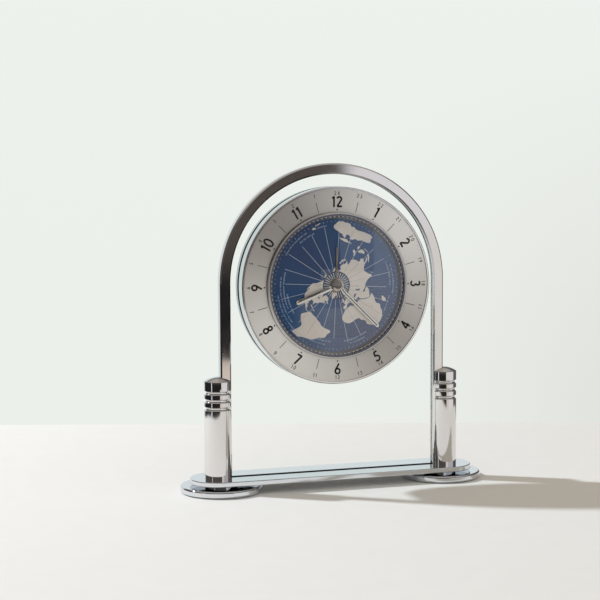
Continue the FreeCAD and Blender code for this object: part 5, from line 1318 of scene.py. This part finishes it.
# %% [markdown]
# ## A dark bead at the panel's foot
# Where the clear panel drops into the slot of the base plate, the photograph shows a dark
# line from post to post, which the polished plate doubles: the dark reflection of the panel's
# edge in the slot. A low bead of dark rubber along the joint stands in for it, as painted
# shade and reflection. It is a quarter round: an arc from the plate to the panel, carried along X
# and closed by a flat face at each end.

# %% A quarter round along the foot of the panel
BEAD_DEPTH = 0.7 * MM
BEAD_RISE = 0.6 * MM
panel_face = front_of("clear_panel")
plate_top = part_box("base_plate")[1][2]
bead_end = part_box("post_right")[1][0] - 2 * POST_RADIUS * MM
quarter = np.linspace(0, math.pi / 2, 9)
curve_y = panel_face - BEAD_DEPTH * np.cos(quarter)
curve_z = plate_top + BEAD_RISE * np.sin(quarter)
bead_section = np.column_stack((np.append(curve_y, panel_face), np.append(curve_z, plate_top)))
bead_points = np.concatenate([np.insert(bead_section, 0, end, axis=1)
                              for end in (-bead_end, bead_end)])
here = np.arange(len(bead_section))
ahead = np.roll(here, -1)
bead_faces = np.stack((here, here + len(here), ahead + len(here), ahead), axis=1).tolist()
bead_faces += [here.tolist(), (here[::-1] + len(here)).tolist()]
# Painted shade and reflection: the dark bead stands in for the dark line at the panel's foot.
piece("panel_foot_shade_bead", bead_points, bead_faces, "clock_stand", rubber)
print("bead from", round(-bead_end / MM, 1), "to", round(bead_end / MM, 1), "mm")

# %% [markdown]
# ## The stage
# A pale table, a pale backdrop and one lamp from behind on the left give the long soft
# shadow to the right. Polished metal shows the room, so the room has to be right: white
# table near the clock, dark beyond it, one pale wall to the right and a narrow bright
# window to the left. The backdrop is the world itself: seen directly it is pale mint, while
# mirror rays find that room. The table goes on under the camera, but past an oval round the
# clock it lets mirror rays through, so that they find the dark of the room.

# %% The table
heading = Vector((-backward.x, -backward.y, 0)).normalized()
beside = Vector((heading.y, -heading.x, 0))
eye_on_table = Vector((place.translation.x, place.translation.y, 0))
TABLE_BACK = 1.3057
TABLE_FRONT = -0.9
TABLE_HALF_WIDTH = 1.9


def flat_sheet(name, corners, material):
    """One flat face between four corners, for the stage."""
    mesh = bpy.data.meshes.new(name)
    mesh.from_pydata([tuple(corner) for corner in corners], [], [(0, 1, 2, 3)])
    mesh.materials.append(material)
    sheet = bpy.data.objects.new(name, mesh)
    bpy.context.scene.collection.objects.link(sheet)
    return sheet


ends = ((TABLE_FRONT, -1), (TABLE_FRONT, 1), (TABLE_BACK, 1), (TABLE_BACK, -1))
table_corners = [eye_on_table + heading * far + beside * side * TABLE_HALF_WIDTH
                 for far, side in ends]
table_paint = finish("table paint", (235, 234, 231), (230, 229, 226), (0.75, 0.85), "grain", 300.0,
                     bump=0.01, fine_tone=0.2)
table = flat_sheet("table", table_corners, table_paint)
print("table runs", round((TABLE_BACK - TABLE_FRONT) * 1000), "mm along the view")

# %% [markdown]
# The table has to end for mirror rays without an edge that the picture shows. The Light Path
# node tells mirror rays apart, and a smooth step from an oval outwards mixes in a transparent
# shader for them alone.

# %% Mirror rays pass through the outer table
OVAL_INNER = 0.335
OVAL_OUTER = 0.36
OVAL_NARROWING = 0.83


def step_in(tree, value, low, high):
    """A smooth step of a socket from 0 at low to 1 at high; low may be the greater number."""
    made = add(tree, "ShaderNodeMapRange", interpolation_type="SMOOTHSTEP")
    made.inputs["From Min"].default_value = low
    made.inputs["From Max"].default_value = high
    tree.links.new(value, made.inputs["Value"])
    return made.outputs["Result"]


def mirror_rays(tree):
    """One for rays that a polished face has thrown back, nought for those bent by clear sheets."""
    path = add(tree, "ShaderNodeLightPath")
    thrown_back = math_node(tree, "SUBTRACT", 1.0, path.outputs["Is Transmission Ray"])
    return math_node(tree, "MULTIPLY", path.outputs["Is Glossy Ray"], thrown_back)


def hide_from_mirrors(material, near, far):
    """Lets mirror rays through the table past an oval, so that they find the room instead."""
    tree = material.node_tree
    parts = add(tree, "ShaderNodeSeparateXYZ")
    tree.links.new(add(tree, "ShaderNodeTexCoord").outputs["Object"], parts.inputs[0])
    narrow = math_node(tree, "MULTIPLY", parts.outputs["X"], OVAL_NARROWING)
    outside = step_in(tree, length_node(tree, narrow, parts.outputs["Y"]), near, far)
    nothing = add(tree, "ShaderNodeBsdfTransparent")
    blend = add(tree, "ShaderNodeMixShader")
    tree.links.new(math_node(tree, "MULTIPLY", outside, mirror_rays(tree)), blend.inputs["Fac"])
    tree.links.new(tree.nodes["Principled BSDF"].outputs["BSDF"], blend.inputs[1])
    tree.links.new(nothing.outputs["BSDF"], blend.inputs[2])
    tree.links.new(blend.outputs["Shader"], tree.nodes["Material Output"].inputs["Surface"])


hide_from_mirrors(table_paint, OVAL_INNER, OVAL_OUTER)
print("the table's material has", len(table_paint.node_tree.nodes), "nodes")

# %% [markdown]
# A low white card stands in front on the right. Only mirror rays see it, so it adds a low
# pale shape to the polished posts and legs, and neither lights nor hides anything.

# %% The card that only mirrors see
CARD_LEFT = Vector((108, -509)) * MM
CARD_RIGHT = Vector((330, -560)) * MM
CARD_FOOT = 0.001
CARD_TOP = 0.15
CARD_COLOUR = (230, 227, 223)
card_light = bpy.data.materials.new("card light")
card_light.use_nodes = True
card_tree = card_light.node_tree
card_tree.nodes.remove(card_tree.nodes["Principled BSDF"])
card_glow = add(card_tree, "ShaderNodeEmission")
card_glow.inputs["Color"].default_value = linear(CARD_COLOUR)
card_output = card_tree.nodes["Material Output"]
card_tree.links.new(card_glow.outputs["Emission"], card_output.inputs["Surface"])
card_corners = ((*CARD_LEFT, CARD_FOOT), (*CARD_RIGHT, CARD_FOOT),
                (*CARD_RIGHT, CARD_TOP), (*CARD_LEFT, CARD_TOP))
card = flat_sheet("card", card_corners, card_light)
card.visible_camera = False
card.visible_diffuse = False
card.visible_transmission = False
card.visible_shadow = False
print("card stands", round(-CARD_LEFT.y / MM), "mm in front")

# %% [markdown]
# The world's light is chosen by a ray's direction. Smooth steps of its height and of its turn
# from the front say where a side of the room begins and ends, and a tint lays one colour
# over those before it.

# %% Steps and tints for the world
world = bpy.data.worlds.new("studio")
bpy.context.scene.world = world
world.use_nodes = True
world.cycles.sampling_method = "NONE"
sky = world.node_tree
sky.nodes.clear()


def step_between(value, low, high):
    """The same smooth step, in the world's nodes."""
    return step_in(sky, value, low, high)


def between(value, rise, fall):
    """One between two smooth steps: up over the first pair of bounds, down over the second."""
    after = math_node(sky, "SUBTRACT", 1.0, step_between(value, *fall))
    return math_node(sky, "MULTIPLY", step_between(value, *rise), after)


def tint_by(share, below, above):
    """A mix of two light colours, each a socket or a screen colour."""
    made = add(sky, "ShaderNodeMix", data_type="RGBA")
    sky.links.new(share, made.inputs["Factor"])
    for label, value in (("A", below), ("B", above)):
        if isinstance(value, tuple):
            made.inputs[label].default_value = linear(value)
        else:
            sky.links.new(value, made.inputs[label])
    return made.outputs["Result"]


def turn_from_front(parts):
    """A ray's turn round the clock: nought in front, positive to the right."""
    towards_viewer = math_node(sky, "MULTIPLY", parts.outputs["Y"], -1.0)
    return math_node(sky, "ARCTAN2", parts.outputs["X"], towards_viewer)


direction = add(sky, "ShaderNodeSeparateXYZ")
sky.links.new(add(sky, "ShaderNodeTexCoord").outputs["Generated"], direction.inputs[0])
print("the world has", len(sky.nodes), "nodes so far")

# %% [markdown]
# The room is a stack of such tints: dark low down, then the pale wall on the right, a warm
# patch of floor in front of it, a brown side, the bright window on the left, the dim ceiling
# with a lighter middle and at last the backdrop.

# %% The room that the chrome shows
front_turn = turn_from_front(direction)
height_share = direction.outputs["Z"]
right_wall = step_between(front_turn, *np.radians((18.9, 19.6)))
brown_side = step_between(front_turn, *np.radians((74, 82)))
window = between(front_turn, np.radians((-68, -66)), np.radians((-62, -60)))
beige_side = between(front_turn, np.radians((6, 10)), np.radians((25, 32)))
low_floor = math_node(sky, "MULTIPLY", step_between(height_share, -0.1225, -0.1245), beige_side)
ceiling = step_between(height_share, 0.12, 0.3)
overhead = step_between(height_share, 0.5, 0.85)
backdrop = step_between(direction.outputs["Y"], 0.78, 0.9)
room = tint_by(step_between(height_share, -0.08, -0.045), (37, 36, 37), (84, 78, 74))
for share, colour in ((right_wall, (232, 230, 234)), (low_floor, (226, 212, 200)),
                      (brown_side, (104, 96, 90)), (window, (250, 252, 255)),
                      (ceiling, (92, 88, 86)), (overhead, (178, 174, 169)),
                      (backdrop, (226, 235, 236))):
    room = tint_by(share, room, colour)
print("the room takes", len(sky.nodes), "nodes")

# %% [markdown]
# What is seen directly and what fills the shadows are plainer mixes of two or three tints: a
# pale mint that dims a little low down on the right, and a neutral front with a warm back.
# The Light Path node chooses between them and the room.

# %% What is seen, what fills the shadows, and the choice
sideways = math_node(sky, "ADD", math_node(sky, "MULTIPLY", direction.outputs["X"], beside.x),
                     math_node(sky, "MULTIPLY", direction.outputs["Y"], beside.y))
seen = tint_by(step_between(height_share, -0.1, 0.3), (236, 240, 235), (237, 243, 238))
dimmer = math_node(sky, "MULTIPLY", step_between(sideways, 0.02, 0.24),
                   math_node(sky, "SUBTRACT", 1.0, step_between(height_share, -0.16, 0.1)))
seen = tint_by(dimmer, seen, (224, 226, 221))
fill = tint_by(step_between(direction.outputs["Y"], -0.5, 0.5), (218, 216, 211), (166, 150, 128))
ray = add(sky, "ShaderNodeLightPath")
light_colour = tint_by(ray.outputs["Is Diffuse Ray"], seen, fill)
light_colour = tint_by(mirror_rays(sky), light_colour, room)
glow = add(sky, "ShaderNodeBackground")
sky.links.new(light_colour, glow.inputs["Color"])
sky.links.new(glow.outputs["Background"], add(sky, "ShaderNodeOutputWorld").inputs["Surface"])
print("the whole world takes", len(sky.nodes), "nodes")

# %% [markdown]
# One lamp stands behind on the left and rather high, far enough away for nearly even light.
# Its disc spans three degrees as seen from the clock, which sets how soft the shadow's edge
# is. It is a little cool, because the light that fills the shadows is warm.

# %% The lamp
LAMP_SIDE = math.radians(33.0)
LAMP_RISE = math.radians(43.0)
LAMP_DISTANCE = 3.0
LAMP_HALF_ANGLE = math.radians(1.5)
LAMP_WATTS = 79
LAMP_TINT = (0.857, 0.921, 1.0)
glow_disc = bpy.data.lights.new("lamp", "AREA")
glow_disc.shape = "DISK"
glow_disc.size = 2 * LAMP_DISTANCE * math.tan(LAMP_HALF_ANGLE)
glow_disc.energy = LAMP_WATTS
glow_disc.color = LAMP_TINT
lamp = bpy.data.objects.new("lamp", glow_disc)
bpy.context.scene.collection.objects.link(lamp)
to_lamp = Vector((-math.cos(LAMP_SIDE) * math.cos(LAMP_RISE),
                  math.sin(LAMP_SIDE) * math.cos(LAMP_RISE), math.sin(LAMP_RISE)))
lamp.location = to_lamp * LAMP_DISTANCE
lamp.rotation_mode = "QUATERNION"
lamp.rotation_quaternion = to_lamp.to_track_quat("Z", "Y")
print("light falls from", [round(v, 2) for v in to_lamp])
